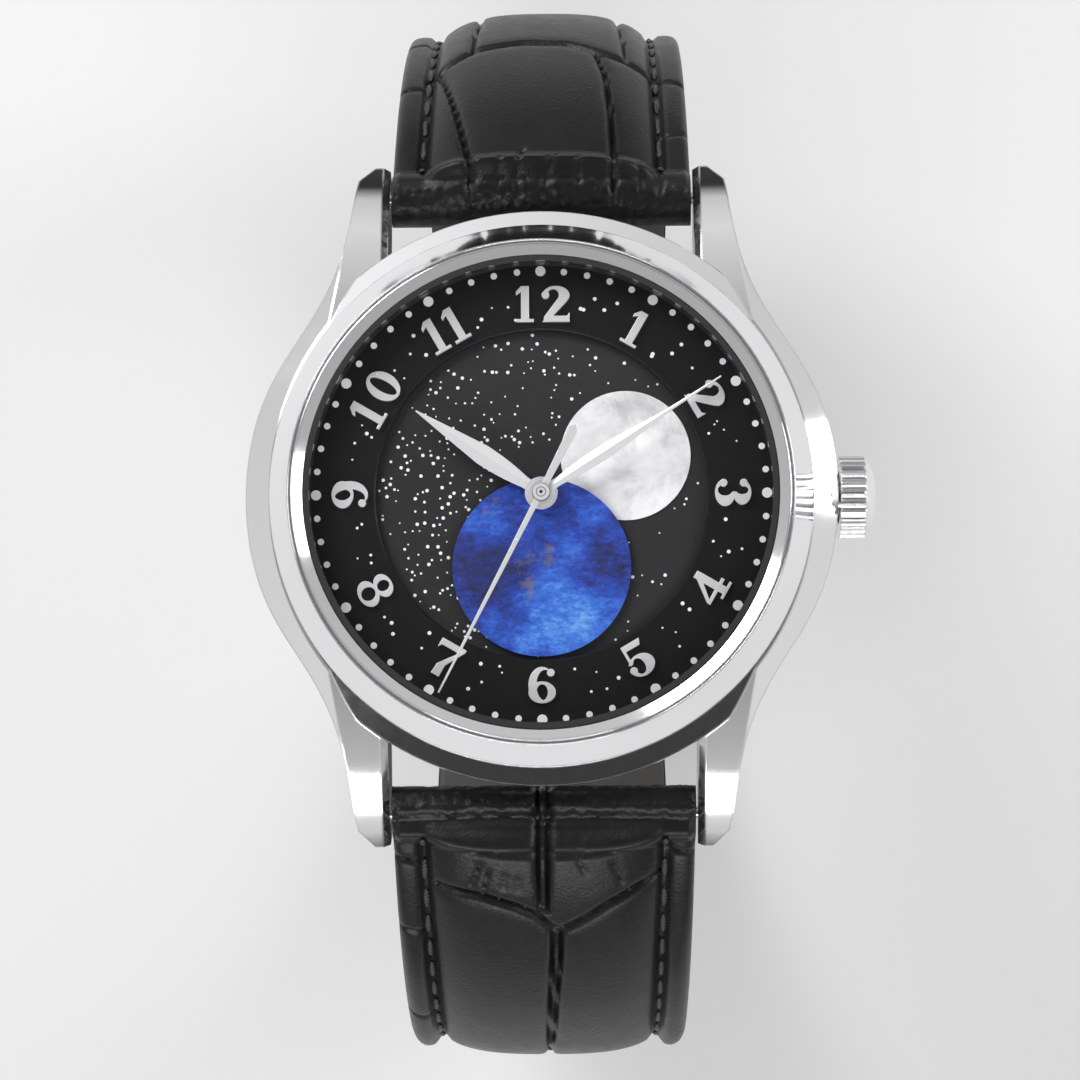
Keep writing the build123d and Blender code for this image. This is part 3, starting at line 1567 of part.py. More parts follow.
def padding(arcs, rises):
    # The stuffed middle of the strap, in two steps so that its edges are drawn in
    inside = [(split, split, split)] * len(arcs)
    lower = [tuple(edge_half + (rise - edge_half) * PAD_STEP_SHARE for rise in row) for row in rises]
    with BuildPart() as low_layer:
        band(arcs, inside, lower, strap_half)
        taper(pad_lug_width / 2, pad_lug_width / 2, pad_tail_width / 2)
    with BuildPart() as high_layer:
        band(arcs, inside, rises, strap_half)
        narrow = pad_rise * (1 - PAD_STEP_SHARE)
        taper(pad_lug_width / 2 - narrow, pad_lug_width / 2 - narrow, pad_tail_width / 2 - narrow)
    return low_layer.part + high_layer.part


with BuildPart() as strap_12:
    band(twelve_arcs, [lining_top] * 3, [flat] * 3, strap_half)
    across(strap_knuckle_radius, bar_reach, bar_height, -strap_half, strap_half)
    across(buckle_knuckle, *hinge_spot, -strap_half, strap_half)
    taper(strap_lug_width / 2, strap_side_width / 2, strap_tail_width / 2)
    add(padding(pad_arcs, pad_rises(PAD_RISE_SHARES)))
    across(strap_bore, bar_reach, bar_height, -strap_half, strap_half, Mode.SUBTRACT)
    across(strap_bore, *hinge_spot, -strap_half, strap_half, Mode.SUBTRACT)
    slot_low = (-tang_slot_half, hinge_spot[0] - tang_slot_length, hinge_spot[1] - tang_slot_length)
    slot_high = (tang_slot_half, hinge_spot[0] + tang_slot_length / 2, hinge_spot[1] + tang_slot_length)
    block(slot_low, slot_high, Mode.SUBTRACT)
save(strap_12, "strap_12")

lining_lug_end = lug_end - degrees((strap_knuckle_radius + loose) / upper_radius)
lining_arcs = trimmed(twelve_arcs, bottom_angle + lining_start, lining_lug_end)

with BuildPart() as strap_12_lining:
    band(lining_arcs, [lining_low] * 3, [lining_top] * 3, strap_half)
    taper(strap_lug_width / 2, strap_side_width / 2, strap_tail_width / 2)
save(strap_12_lining, "strap_12_lining")


# Six o'clock half: down the other side, through the buckle and out over the first half
tail_rise = 2 * edge_half + leather_gap
shift_start = 12.0
shift_end = -1.5
tail_end = 38.0
SHIFT_SHARES = ((0.0, 0.03, 0.16), (0.16, 0.5, 0.84), (0.84, 0.97, 1.0))
SHIFT_TURN_SHARES = (0.0, 0.3, 0.7, 1.0)
down_arcs = [
    (upper_centre, upper_radius, lug_end, side_end, -1),
    (side_centre, side_radius, side_end, span_end, -1),
    (loop_middle, loop_radius, span_end, bottom_angle + shift_start, -1),
]
shift_from = bottom_angle - shift_start
shift_turn = shift_start + shift_end
shift_arcs = []
for start_share, end_share in zip(SHIFT_TURN_SHARES[:-1], SHIFT_TURN_SHARES[1:]):
    start = shift_from + shift_turn * start_share
    shift_arcs.append((loop_middle, loop_radius, start, shift_from + shift_turn * end_share, 1))
tail_arcs = [(loop_middle, loop_radius + tail_rise, bottom_angle + shift_end, bottom_angle + tail_end, 1)]
shift_arcs[-1] = shift_arcs[-1][:3] + (bottom_angle + shift_end,) + shift_arcs[-1][4:]
six_arcs = down_arcs + shift_arcs + tail_arcs


def six_rises(rise):
    rows = [(rise,) * 3] * 3
    for row in SHIFT_SHARES:
        rows.append(tuple(rise + tail_rise * share for share in row))
    rows.append((rise,) * 3)
    return rows


hole_radius = 0.9
hole_angles = (7.5, 15.0, 22.5, 30.0)
tip_length = 9.0
tang_hole_length = 6.4
tang_hole_angle = -5.2


def radial_plane(angle, radius):
    # A plane square to the radius at an angle from the bottom, its x along X
    y, z = polar(radius, bottom_angle + angle, loop_middle)
    out = unit(bottom_angle + angle)
    return Plane(origin=(0, y, z), x_dir=(1, 0, 0), z_dir=(0, out[0], out[1]))


TIP_BELLY_SHARES = (0.62, 0.32)


def tail_cuts():
    # The pointed tip, the row of holes and the hole that the tang is through
    tip_plane = radial_plane(tail_end, loop_radius + tail_rise)
    half = strap_tail_width / 2
    far = strap_tail_width
    with BuildSketch(tip_plane) as beyond:
        Rectangle(2 * far, 2 * tip_length)
        with BuildSketch(tip_plane, mode=Mode.PRIVATE) as tip:
            with BuildLine():
                reach = tip_length
                for side in (1, -1):
                    belly = (side * half * TIP_BELLY_SHARES[0], reach * TIP_BELLY_SHARES[1])
                    ThreePointArc((side * (half + loose), reach), belly, (0, 0))
                Line((-half - loose, reach), (-far, reach))
                Line((-far, reach), (-far, 2 * reach))
                Line((-far, 2 * reach), (far, 2 * reach))
                Line((far, 2 * reach), (far, reach))
                Line((far, reach), (half + loose, reach))
            make_face()
        add(tip.sketch, mode=Mode.SUBTRACT)
    extrude(beyond.sketch, amount=2 * tail_rise, both=True, mode=Mode.SUBTRACT)
    for angle in hole_angles:
        with BuildSketch(radial_plane(angle, loop_radius + tail_rise)) as hole:
            Circle(hole_radius)
        extrude(hole.sketch, amount=tail_rise, both=True, mode=Mode.SUBTRACT)
    with BuildSketch(radial_plane(tang_hole_angle, loop_radius + tail_rise / 2)) as hole:
        SlotOverall(tang_hole_length, 2 * tang_slot_half, rotation=90)
    extrude(hole.sketch, amount=2 * tail_rise, both=True, mode=Mode.SUBTRACT)


six_pad_start = 25.0
six_pad_arcs = [
    (upper_centre, upper_radius, pad_end, side_end, -1),
    (side_centre, side_radius, side_end, span_end, -1),
    (loop_middle, loop_radius, span_end, bottom_angle + six_pad_start, -1),
]
SIX_PAD_SHARES = ((0.7, 1.0, 1.0), (1.0, 0.85, 0.3), (0.3, 0.12, 0.0))

with BuildPart() as strap_6:
    band(six_arcs, six_rises(split), six_rises(edge_half), strap_half)
    across(strap_knuckle_radius, -bar_reach, bar_height, -strap_half, strap_half)
    taper(strap_lug_width / 2, strap_side_width / 2, strap_tail_width / 2)
    add(padding(six_pad_arcs, pad_rises(SIX_PAD_SHARES)))
    across(strap_bore, -bar_reach, bar_height, -strap_half, strap_half, Mode.SUBTRACT)
    tail_cuts()
save(strap_6, "strap_6")

with BuildPart() as strap_6_lining:
    six_lining_arcs = [(upper_centre, upper_radius, lining_lug_end, side_end, -1)] + six_arcs[1:]
    band(six_lining_arcs, six_rises(-edge_half), six_rises(split), strap_half)
    taper(strap_lug_width / 2, strap_side_width / 2, strap_tail_width / 2)
    tail_cuts()
save(strap_6_lining, "strap_6_lining")


# Spring bars: two in the lugs and one in the buckle
bar_tip_radius = bar_hole_radius - running
bar_body_half = lug_width / 2 - 0.35
bar_tip_reach = bar_hole_depth - 2 * loose

with BuildPart() as spring_bars:
    for side in (1, -1):
        across(strap_bar_radius, side * bar_reach, bar_height, -bar_body_half, bar_body_half)
        tip_half = lug_width / 2 + bar_tip_reach
        across(bar_tip_radius, side * bar_reach, bar_height, -tip_half, tip_half)
save(spring_bars, "spring_bars")

arm_inner = strap_tail_width / 2 + leather_gap
arm_thickness = 1.6
arm_outer = arm_inner + arm_thickness
buckle_bar_reach = arm_outer - 0.5

with BuildPart() as buckle_bar:
    across(strap_bar_radius, *hinge_spot, -buckle_bar_reach, buckle_bar_reach)
save(buckle_bar, "buckle_bar")


# Pin buckle: frame with its rest bar, and the tang
rest_angle = -10.6
rest_bar_radius = 1.25
ear_radius = 1.5
frame_foot = 0.8
tang_thickness = 1.0
tang_knuckle = 1.35
rest_centre_radius = loop_radius + edge_half + leather_gap + rest_bar_radius + 0.15
rest_spot = polar(rest_centre_radius, bottom_angle + rest_angle, loop_middle)
floor_height = bar_height - (loop_radius + tail_rise + edge_half + frame_foot)
notch_half_width = tang_half + loose
tang_end = polar(
    rest_centre_radius + rest_bar_radius - tang_thickness / 2, bottom_angle + rest_angle,
    loop_middle,
)


def tang_points(inner, outer, past):
    # The tang's four corners, seen along X, from the hinge bar to past the rest bar
    run_y = tang_end[0] - hinge_spot[0]
    run_z = tang_end[1] - hinge_spot[1]
    length = hypot(run_y, run_z)
    along = (run_y / length, run_z / length)
    up = (along[1], -along[0])
    corners = (
        (hinge_spot, 0, inner), (tang_end, past, inner), (tang_end, past, outer), (hinge_spot, 0, outer),
    )
    points = []
    for spot, reach, rise in corners:
        y = spot[0] + along[0] * reach + up[0] * rise
        points.append((y, spot[1] + along[1] * reach + up[1] * rise))
    return points


with BuildPart() as buckle_frame:
    with BuildSketch(Plane.YZ.offset(-arm_outer)) as arm:
        hinge_y, hinge_z = hinge_spot
        rest_y, rest_z = rest_spot
        Polygon(
            (hinge_y + ear_radius, hinge_z),
            (hinge_y + ear_radius, floor_height + ear_radius / 2),
            (hinge_y + ear_radius / 2, floor_height),
            (rest_y - rest_bar_radius / 2, floor_height),
            (rest_y - rest_bar_radius, floor_height + rest_bar_radius / 2),
            (rest_y - rest_bar_radius, rest_z + rest_bar_radius / 2),
            (rest_y, rest_z + rest_bar_radius),
            (hinge_y - ear_radius, hinge_z - ear_radius / 2),
            (hinge_y - ear_radius, hinge_z),
            align=None,
        )
        with Locations(hinge_spot):
            Circle(ear_radius)
    extrude(arm.sketch, amount=arm_thickness)
    mirror(about=Plane.YZ)
    across(rest_bar_radius, *rest_spot, -arm_inner, arm_inner)
    with BuildSketch(Plane.YZ.offset(-notch_half_width)) as notch:
        Polygon(
            *tang_points(tang_thickness / 2 + loose, -2 * rest_bar_radius, rest_bar_radius),
            align=None,
        )
    extrude(notch.sketch, amount=2 * notch_half_width, mode=Mode.SUBTRACT)
    bar_slot = buckle_bar_reach + loose
    across(strap_bar_radius + running, *hinge_spot, -bar_slot, bar_slot, Mode.SUBTRACT)
save(buckle_frame, "buckle_frame")

with BuildPart() as buckle_tang:
    with BuildSketch(Plane.YZ.offset(-tang_half)) as blade:
        Polygon(*tang_points(tang_thickness / 2, -tang_thickness / 2, rest_bar_radius / 2), align=None)
        with Locations(hinge_spot):
            Circle(tang_knuckle)
    extrude(blade.sketch, amount=2 * tang_half)
    across(strap_bar_radius + running, *hinge_spot, -tang_half, tang_half, Mode.SUBTRACT)
save(buckle_tang, "buckle_tang")


# Leather keepers: one stitched in place, one free to slide
keeper_thickness = 1.0
keeper_length = 4.4
keeper_half = strap_tail_width / 2 + 2 * leather_gap
fixed_keeper_angle = 10.8
free_keeper_angle = 22.0


def keeper(angle):
    inner_low = loop_radius - edge_half - leather_gap
    inner_high = loop_radius + tail_rise + edge_half + leather_gap
    middle = (inner_low + inner_high) / 2
    height = inner_high - inner_low
    y, z = polar(middle, bottom_angle + angle, loop_middle)
    tangent = unit(bottom_angle + angle + 90)
    start = (0, y - tangent[0] * keeper_length / 2, z - tangent[1] * keeper_length / 2)
    with BuildSketch(Plane(origin=start, x_dir=(1, 0, 0), z_dir=(0,) + tangent)) as loop:
        RectangleRounded(
            2 * (keeper_half + keeper_thickness), height + 2 * keeper_thickness, keeper_thickness,
        )
        Rectangle(2 * keeper_half, height, mode=Mode.SUBTRACT)
    extrude(loop.sketch, amount=keeper_length)


with BuildPart() as fixed_keeper:
    keeper(fixed_keeper_angle)
save(fixed_keeper, "fixed_keeper")

with BuildPart() as free_keeper:
    keeper(free_keeper_angle)
save(free_keeper, "free_keeper")
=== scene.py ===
# A round dress watch with a sky disc, a moon and an earth, on a pale floor under soft studio light.
import bmesh
import bpy
import json
import random
from math import cos, hypot, pi, radians, sin, sqrt
from mathutils import Matrix, Vector


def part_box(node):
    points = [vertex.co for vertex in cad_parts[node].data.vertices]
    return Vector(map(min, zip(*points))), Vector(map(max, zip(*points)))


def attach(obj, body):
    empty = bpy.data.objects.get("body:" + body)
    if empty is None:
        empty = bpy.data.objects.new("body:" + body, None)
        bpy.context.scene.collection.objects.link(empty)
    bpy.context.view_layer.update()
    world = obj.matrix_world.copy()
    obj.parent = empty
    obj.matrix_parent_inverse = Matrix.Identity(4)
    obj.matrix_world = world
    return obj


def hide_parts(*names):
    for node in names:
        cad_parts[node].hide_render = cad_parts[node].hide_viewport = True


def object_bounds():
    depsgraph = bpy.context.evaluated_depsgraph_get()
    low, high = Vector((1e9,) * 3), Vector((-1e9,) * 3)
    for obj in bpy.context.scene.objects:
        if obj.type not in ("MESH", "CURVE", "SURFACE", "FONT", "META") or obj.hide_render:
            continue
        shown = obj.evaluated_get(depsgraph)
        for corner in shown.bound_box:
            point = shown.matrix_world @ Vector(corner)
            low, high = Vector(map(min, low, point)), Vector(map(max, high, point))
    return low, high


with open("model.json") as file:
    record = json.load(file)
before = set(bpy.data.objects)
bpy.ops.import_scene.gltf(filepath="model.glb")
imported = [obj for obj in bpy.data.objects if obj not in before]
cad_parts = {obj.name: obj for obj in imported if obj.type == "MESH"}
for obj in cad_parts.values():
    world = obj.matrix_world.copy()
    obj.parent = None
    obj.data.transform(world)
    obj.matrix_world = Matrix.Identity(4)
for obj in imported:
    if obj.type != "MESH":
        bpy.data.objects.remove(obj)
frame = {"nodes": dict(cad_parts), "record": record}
cad_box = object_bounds()
mm = 0.001
joints = {joint["name"]: joint for joint in frame["record"]["behaviour"]["joints"]}


# The studio. A pale floor at the height of the buckle's foot, a sky that is pale at the horizon
# and dark overhead, and three large soft lamps, as a product table has.
floor_height = cad_box[0].z
floor_half = 2.5
floor_mesh = bpy.data.meshes.new("floor")
bm = bmesh.new()
bmesh.ops.create_grid(bm, x_segments=1, y_segments=1, size=floor_half)
bmesh.ops.translate(bm, verts=bm.verts, vec=(0, 0, floor_height))
bm.to_mesh(floor_mesh)
bm.free()
floor = bpy.data.objects.new("floor", floor_mesh)
bpy.context.scene.collection.objects.link(floor)
floor_finish = bpy.data.materials.new("pale floor")
floor_finish.use_nodes = True
floor_shader = floor_finish.node_tree.nodes["Principled BSDF"]
floor_shader.inputs["Base Color"].default_value = (0.80, 0.80, 0.80, 1)
floor_shader.inputs["Roughness"].default_value = 0.7
floor_mesh.materials.append(floor_finish)

world = bpy.data.worlds.new("studio")
bpy.context.scene.world = world
world.use_nodes = True
sky_nodes = world.node_tree.nodes
sky_links = world.node_tree.links
direction = sky_nodes.new("ShaderNodeTexCoord")
split_direction = sky_nodes.new("ShaderNodeSeparateXYZ")
height_ramp = sky_nodes.new("ShaderNodeValToRGB")
sky_stops = (
    (0.0, 0.06), (0.19, 0.04), (0.30, 0.80), (0.50, 1.0),
    (0.68, 0.66), (0.88, 0.42), (0.95, 0.20), (1.0, 0.05),
)
while len(height_ramp.color_ramp.elements) < len(sky_stops):
    height_ramp.color_ramp.elements.new(1.0)
for element, (height, grey) in zip(height_ramp.color_ramp.elements, sky_stops):
    element.position = height
    element.color = (grey, grey, grey, 1)
sky_links.new(direction.outputs["Generated"], split_direction.inputs[0])
sky_links.new(split_direction.outputs["Z"], height_ramp.inputs[0])
sky_links.new(height_ramp.outputs["Color"], sky_nodes["Background"].inputs["Color"])
sky_strength = 0.85
sky_nodes["Background"].inputs["Strength"].default_value = sky_strength


def lamp(name, place, size, power):
    data = bpy.data.lights.new(name, "AREA")
    data.shape = "RECTANGLE"
    data.size, data.size_y = size
    data.energy = power
    lamp_object = bpy.data.objects.new(name, data)
    lamp_object.location = place
    lamp_object.rotation_euler = (-Vector(place)).to_track_quat("-Z", "Y").to_euler()
    bpy.context.scene.collection.objects.link(lamp_object)


lamp("key_lamp", (-0.30, 0.32, 0.34), (0.30, 0.30), 1.8)
lamp("right_lamp", (0.46, 0.10, 0.26), (0.16, 0.40), 0.9)
lamp("front_lamp", (-0.06, -0.50, 0.34), (0.46, 0.14), 1.4)

# The camera looks down at the dial as in the photo, from a little below six o'clock
# and a little to the crown's side, with a very slight roll.
image_size = 1080
focal_pixels = 3500
camera_below = radians(5.6)
camera_right = radians(0.95)
camera_roll = radians(0.25)
camera_distance = 246.6 * mm
aim_height = 8.25 * mm
aim_right = 0.093 * mm
aim_up = 3.25 * mm
sight = Vector((
    sin(camera_right), -sin(camera_below) * cos(camera_right), cos(camera_below) * cos(camera_right),
))
level = Vector((0, 1, 0)).cross(sight).normalized()
upright = sight.cross(level)
right = level * cos(camera_roll) - upright * sin(camera_roll)
up = level * sin(camera_roll) + upright * cos(camera_roll)
camera_data = bpy.data.cameras.new("camera")
camera = bpy.data.objects.new("camera", camera_data)
turn = Matrix((right, up, sight)).transposed()
place = Vector((0, 0, aim_height)) - right * aim_right - up * aim_up + sight * camera_distance
camera.matrix_world = Matrix.Translation(place) @ turn.to_4x4()
camera_data.sensor_width = 36.0
camera_data.lens = camera_data.sensor_width * focal_pixels / image_size
camera_data.clip_start = 0.01
camera_data.clip_end = 10.0
bpy.context.scene.collection.objects.link(camera)
bpy.context.scene.camera = camera
bpy.context.scene.view_settings.view_transform = "Standard"


# The case: a polished steel middle with four slender lugs, a pressed-on bezel, the crown and
# the crystal's steel parts. All are turned or milled from one steel and polished bright.
class Value:
    """A socket of a shader, on which arithmetic adds Math nodes."""

    def __init__(self, finish, socket):
        self.finish = finish
        self.socket = socket

    def math(self, operation, first, second):
        return self.finish.node("Math", {"operation": operation}, {0: first, 1: second})

    def __add__(self, other):
        return self.math("ADD", self, other)

    def __sub__(self, other):
        return self.math("SUBTRACT", self, other)

    def __rsub__(self, other):
        return self.math("SUBTRACT", other, self)

    def __mul__(self, other):
        return self.math("MULTIPLY", self, other)

    def __truediv__(self, other):
        return self.math("DIVIDE", self, other)

    __radd__ = __add__
    __rmul__ = __mul__


class Finish:
    """A material whose nodes are written as calls and sums."""

    def __init__(self, name):
        self.material = bpy.data.materials.new(name)
        self.material.use_nodes = True
        self.tree = self.material.node_tree
        self.shader = self.tree.nodes["Principled BSDF"]

    def node(self, kind, settings=None, inputs=None, output=0):
        made = self.tree.nodes.new("ShaderNode" + kind)
        for name, value in (settings or {}).items():
            if name == "stops":
                ramp = made.color_ramp
                while len(ramp.elements) < len(value):
                    ramp.elements.new(1.0)
                for element, (position, colour) in zip(ramp.elements, value):
                    element.position = position
                    element.color = (*colour, 1)
            else:
                setattr(made, name, value)
        for name, value in (inputs or {}).items():
            self.plug(made.inputs[name], value)
        return Value(self, made.outputs[output])

    def plug(self, socket, value):
        if isinstance(value, Value):
            self.tree.links.new(value.socket, socket)
        elif isinstance(value, tuple) and len(value) == 3 and socket.type == "RGBA":
            socket.default_value = (*value, 1)
        else:
            socket.default_value = value

    def set(self, **inputs):
        for name, value in inputs.items():
            self.plug(self.shader.inputs[name.replace("_", " ")], value)
        return self

    def place(self, scale=(1, 1, 1), rotation=(0, 0, 0), location=(0, 0, 0)):
        spot = self.node("TexCoord", output="Object")
        return self.node("Mapping", {}, {
            "Vector": spot, "Scale": scale, "Rotation": rotation, "Location": location,
        })

    def sides(self, scale=1.0):
        """How far a point lies across and up from the part's axis."""
        split = self.tree.nodes.new("ShaderNodeSeparateXYZ")
        self.plug(split.inputs[0], self.place((scale, scale, scale)))
        return Value(self, split.outputs["X"]), Value(self, split.outputs["Y"])

    def from_axis(self, scale=1.0):
        across, up = self.sides(scale)
        return self.node("Math", {"operation": "SQRT"}, {0: across * across + up * up})

    def noise(self, scale, detail=3.0, spot=None, distortion=0.0, roughness=0.5):
        return self.node("TexNoise", {}, {
            "Vector": spot or self.place(), "Scale": scale, "Detail": detail,
            "Distortion": distortion, "Roughness": roughness,
        })

    def cells(self, scale, spot=None, feature="F1", output=0, randomness=1.0):
        return self.node("TexVoronoi", {"feature": feature}, {
            "Vector": spot or self.place(), "Scale": scale, "Randomness": randomness,
        }, output)

    def ramp(self, value, *stops):
        return self.node("ValToRGB", {"stops": stops}, {0: value})

    def blend(self, share, low, high):
        made = self.tree.nodes.new("ShaderNodeMix")
        made.data_type = "RGBA"
        self.plug(made.inputs[0], share)
        self.plug(made.inputs[6], low)
        self.plug(made.inputs[7], high)
        return Value(self, made.outputs[2])

    def bump(self, height, distance, strength=1.0, under=None):
        inputs = {"Height": height, "Distance": distance, "Strength": strength}
        if under:
            inputs["Normal"] = under
        return self.node("Bump", {}, inputs)

    def rounded(self, radius):
        return self.node("Bevel", {"samples": 4}, {"Radius": radius})


def dress(finish, *nodes):
    for name in nodes:
        mesh = frame["nodes"][name].data
        mesh.materials.clear()
        mesh.materials.append(finish.material)


def polished(name, tone, rough, edge):
    steel = Finish(name)
    wear = steel.noise(900, 4)
    scratches = steel.noise(260, 5, steel.place((1, 14, 1), (0, 0, radians(35))))
    shape = steel.bump(scratches, 0.0012 * mm, 0.35, steel.rounded(edge))
    return steel.set(
        Base_Color=tone, Metallic=1.0, Roughness=rough + wear * 0.05, Normal=shape,
    )


case_steel = polished("polished case steel", (0.80, 0.80, 0.81), 0.05, 0.22 * mm)
dress(case_steel, "mid_case", "bezel", "crown")
small_steel = Finish("bright plated hands and numerals, painted hub shade")
plating = small_steel.noise(2200, 3)
# Painted shade: near-black rings drawn into the colour round the hands' axis, at the bore of the hub and
# where the collets step down.
hub_painted_shade_rings = small_steel.ramp(
    small_steel.from_axis(1 / mm), (0.0, (1, 1, 1)), (0.10, (1, 1, 1)), (0.14, (0, 0, 0)),
    (0.28, (0, 0, 0)), (0.33, (1, 1, 1)),
    (0.38, (0, 0, 0)), (0.56, (0, 0, 0)), (0.62, (0.8, 0.8, 0.8)), (0.67, (0, 0, 0)),
)
plated = small_steel.blend(plating, (0.94, 0.94, 0.95), (0.99, 0.99, 1.0))
small_steel.set(
    Base_Color=small_steel.blend(hub_painted_shade_rings, plated, (0.03, 0.03, 0.032)), Metallic=0.42,
    Roughness=0.20 + plating * 0.10, Normal=small_steel.rounded(0.07 * mm),
)
dress(small_steel, "hour_hand", "minute_hand", "seconds_hand", "hour_numerals", "centre_tube")


# The crystal and the glass in the back: clear domed sapphire, which is lit only by what it
# reflects, and nearly nothing straight on.
straight_on = 0.012


def clear_glass(name, reflection):
    glass = Finish(name)
    edge_on = glass.node("LayerWeight", {}, {"Blend": 0.5}, output="Facing")
    gloss = edge_on.math("POWER", edge_on, 5.0)
    return glass.set(
        Base_Color=(0.95, 0.97, 1.0), Metallic=1.0, Roughness=0.015, Alpha=gloss * reflection + straight_on,
    )


dress(clear_glass("coated crystal", 0.8), "crystal")
dress(clear_glass("back glass", 0.8), "back_glass")


# Seals: moulded black rubber rings under the crystal, in the case back and in the crown.
seal_rubber = Finish("seal rubber")
seal_rubber.set(
    Base_Color=(0.015, 0.015, 0.016), Roughness=0.55 + seal_rubber.noise(1500) * 0.2,
    Normal=seal_rubber.bump(seal_rubber.noise(4000), 0.01 * mm, 0.4),
)
dress(seal_rubber, "crystal_gasket", "back_gasket", "crown_gasket")


# The dial: a black lacquered ring with a fine satin grain, and the sloped flange round it.
dial_lacquer = Finish("black dial lacquer")
satin = dial_lacquer.noise(5200, 2)
dial_lacquer.set(
    Base_Color=dial_lacquer.blend(dial_lacquer.noise(150), (0.003, 0.003, 0.0035), (0.006, 0.006, 0.0065)),
    Roughness=0.30 + satin * 0.12, Normal=dial_lacquer.bump(satin, 0.004 * mm, 0.25),
)
dress(dial_lacquer, "dial")
flange_grey = Finish("grey flange")
flange_grey.set(
    Base_Color=(0.10, 0.10, 0.105), Metallic=0.8, Roughness=0.32 + flange_grey.noise(2600) * 0.1,
)
dress(flange_grey, "dial_flange")
pip_white = Finish("white pip lacquer")
pip_white.set(
    Base_Color=(0.97, 0.97, 0.98), Roughness=0.25 + pip_white.noise(2500) * 0.1,
    Normal=pip_white.bump(pip_white.noise(3000), 0.006 * mm, 0.4),
)
dress(pip_white, "minute_markers")


# The sky disc turns once a lunar month: dark grey, faintly brushed, with small printed stars.
# Where the stars stand is chance, denser in a band round the left of the disc.
sky_grey = Finish("dark grained sky")
brushed = sky_grey.noise(420, 6, sky_grey.place((1, 9, 1)))
glow = sky_grey.noise(70, 2)
sky_grey.set(
    Base_Color=sky_grey.blend(glow, (0.007, 0.007, 0.0075), (0.026, 0.026, 0.028)),
    Roughness=0.42 + brushed * 0.15, Normal=sky_grey.bump(brushed, 0.012 * mm, 0.4),
)
dress(sky_grey, "sky_disc")

sky_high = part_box("sky_disc")[1]
moon_low, moon_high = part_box("moon")
moon_centre = (moon_low + moon_high) / 2
moon_reach = (moon_high.x - moon_low.x) / 2
star_white = Finish("printed star")
dot_top_share = (0.8, 0.8, 1)
paint_thickness = 0.012 * mm
star_white.set(Base_Color=(0.98, 0.98, 0.99), Roughness=0.4 + star_white.noise(900) * 0.2)


def finished(name, bm, finish):
    """The object that a bmesh becomes, with its faces turned outwards."""
    bmesh.ops.recalc_face_normals(bm, faces=bm.faces)
    mesh = bpy.data.meshes.new(name)
    bm.to_mesh(mesh)
    bm.free()
    mesh.materials.append(finish.material)
    made = bpy.data.objects.new(name, mesh)
    bpy.context.scene.collection.objects.link(made)
    return made


def printed_dots(name, body, spots, height, thickness):
    """Small round dots of paint, each a flat disc with its top edge drawn in."""
    bm = bmesh.new()
    for x, y, radius in spots:
        disc = Matrix.Translation((x, y, height))
        made = bmesh.ops.create_circle(bm, cap_ends=True, segments=10, radius=radius, matrix=disc)
        face = made["verts"][0].link_faces[0]
        raised = bmesh.ops.extrude_face_region(bm, geom=[face])["geom"]
        top = [v for v in raised if isinstance(v, bmesh.types.BMVert)]
        bmesh.ops.translate(bm, verts=top, vec=(0, 0, thickness))
        middle = Matrix.Translation((-x, -y, 0))
        bmesh.ops.scale(bm, verts=top, vec=dot_top_share, space=middle)
    dots = finished(name, bm, star_white)
    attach(dots, body)
    return dots


chance = random.Random(11)
star_spots = []
star_reach = 11.5 * mm
star_margin = 0.3 * mm
star_count = 330
band_heading, band_spread = radians(178), radians(62)
stray_share = 0.30
star_apart = 0.26 * mm
star_radii = (0.06, 0.07, 0.085, 0.10, 0.125)
while len(star_spots) < star_count:
    heading = chance.gauss(band_heading, band_spread)
    reach = star_reach * sqrt(chance.uniform(0.10, 1.0))
    if chance.random() < stray_share:
        heading = chance.uniform(0, 2 * pi)
    x, y = reach * cos(heading), reach * sin(heading)
    beside_moon = hypot(x - moon_centre.x, y - moon_centre.y) > moon_reach + star_margin
    apart = all(hypot(x - a, y - b) > star_apart for a, b, c in star_spots)
    if beside_moon and apart:
        star_spots.append((x, y, chance.choice(star_radii) * mm))
printed_dots("sky_stars", "sky", star_spots, sky_high.z, paint_thickness)

dial_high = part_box("dial")[1]
ring_spots = []
ring_inner, ring_outer = 12.4, 14.8
gap_half = 7.5
ring_radii = (0.07, 0.10, 0.14)
for k in range(12):
    between = radians(30 * k + 15)
    for n in range(5):
        heading = between + radians(chance.uniform(-gap_half, gap_half))
        reach = chance.uniform(ring_inner, ring_outer) * mm
        radius = chance.choice(ring_radii) * mm
        ring_spots.append((reach * cos(heading), reach * sin(heading), radius))
printed_dots("dial_ring_stars", "case", ring_spots, dial_high.z, paint_thickness)


# The moon: a thin pearly disc with soft grey seas and a few bright craters, fixed on the sky.
pearl = Finish("pearly moon")
seas = pearl.noise(260, 8, roughness=0.68, distortion=0.25)
spots = pearl.cells(620)
sea_tone = pearl.ramp(
    seas, (0.36, (0.56, 0.56, 0.57)), (0.47, (0.80, 0.80, 0.81)), (0.58, (0.97, 0.97, 0.98)),
)
pearl.set(
    Base_Color=pearl.blend(spots * 0.30, sea_tone, (0.99, 0.99, 1.0)),
    Roughness=0.34 + seas * 0.15, Normal=pearl.bump(seas, 0.05 * mm, 0.45),
)
dress(pearl, "moon")


# The earth: a low blue dome, fixed below the centre, of deep blue stone with paler clouds
# low down and small green and brown flecks of land.
blue_stone = Finish("blue earth stone")
spot = blue_stone.place((1, 1.25, 1), (0, 0, radians(12)))
cloud = blue_stone.noise(560, 10, spot, 0.2, 0.82)
grain = blue_stone.noise(2600, 5, blue_stone.place((0.5, 1, 1)), 0.2, 0.75)
earth_side, earth_up = blue_stone.sides(1 / mm)


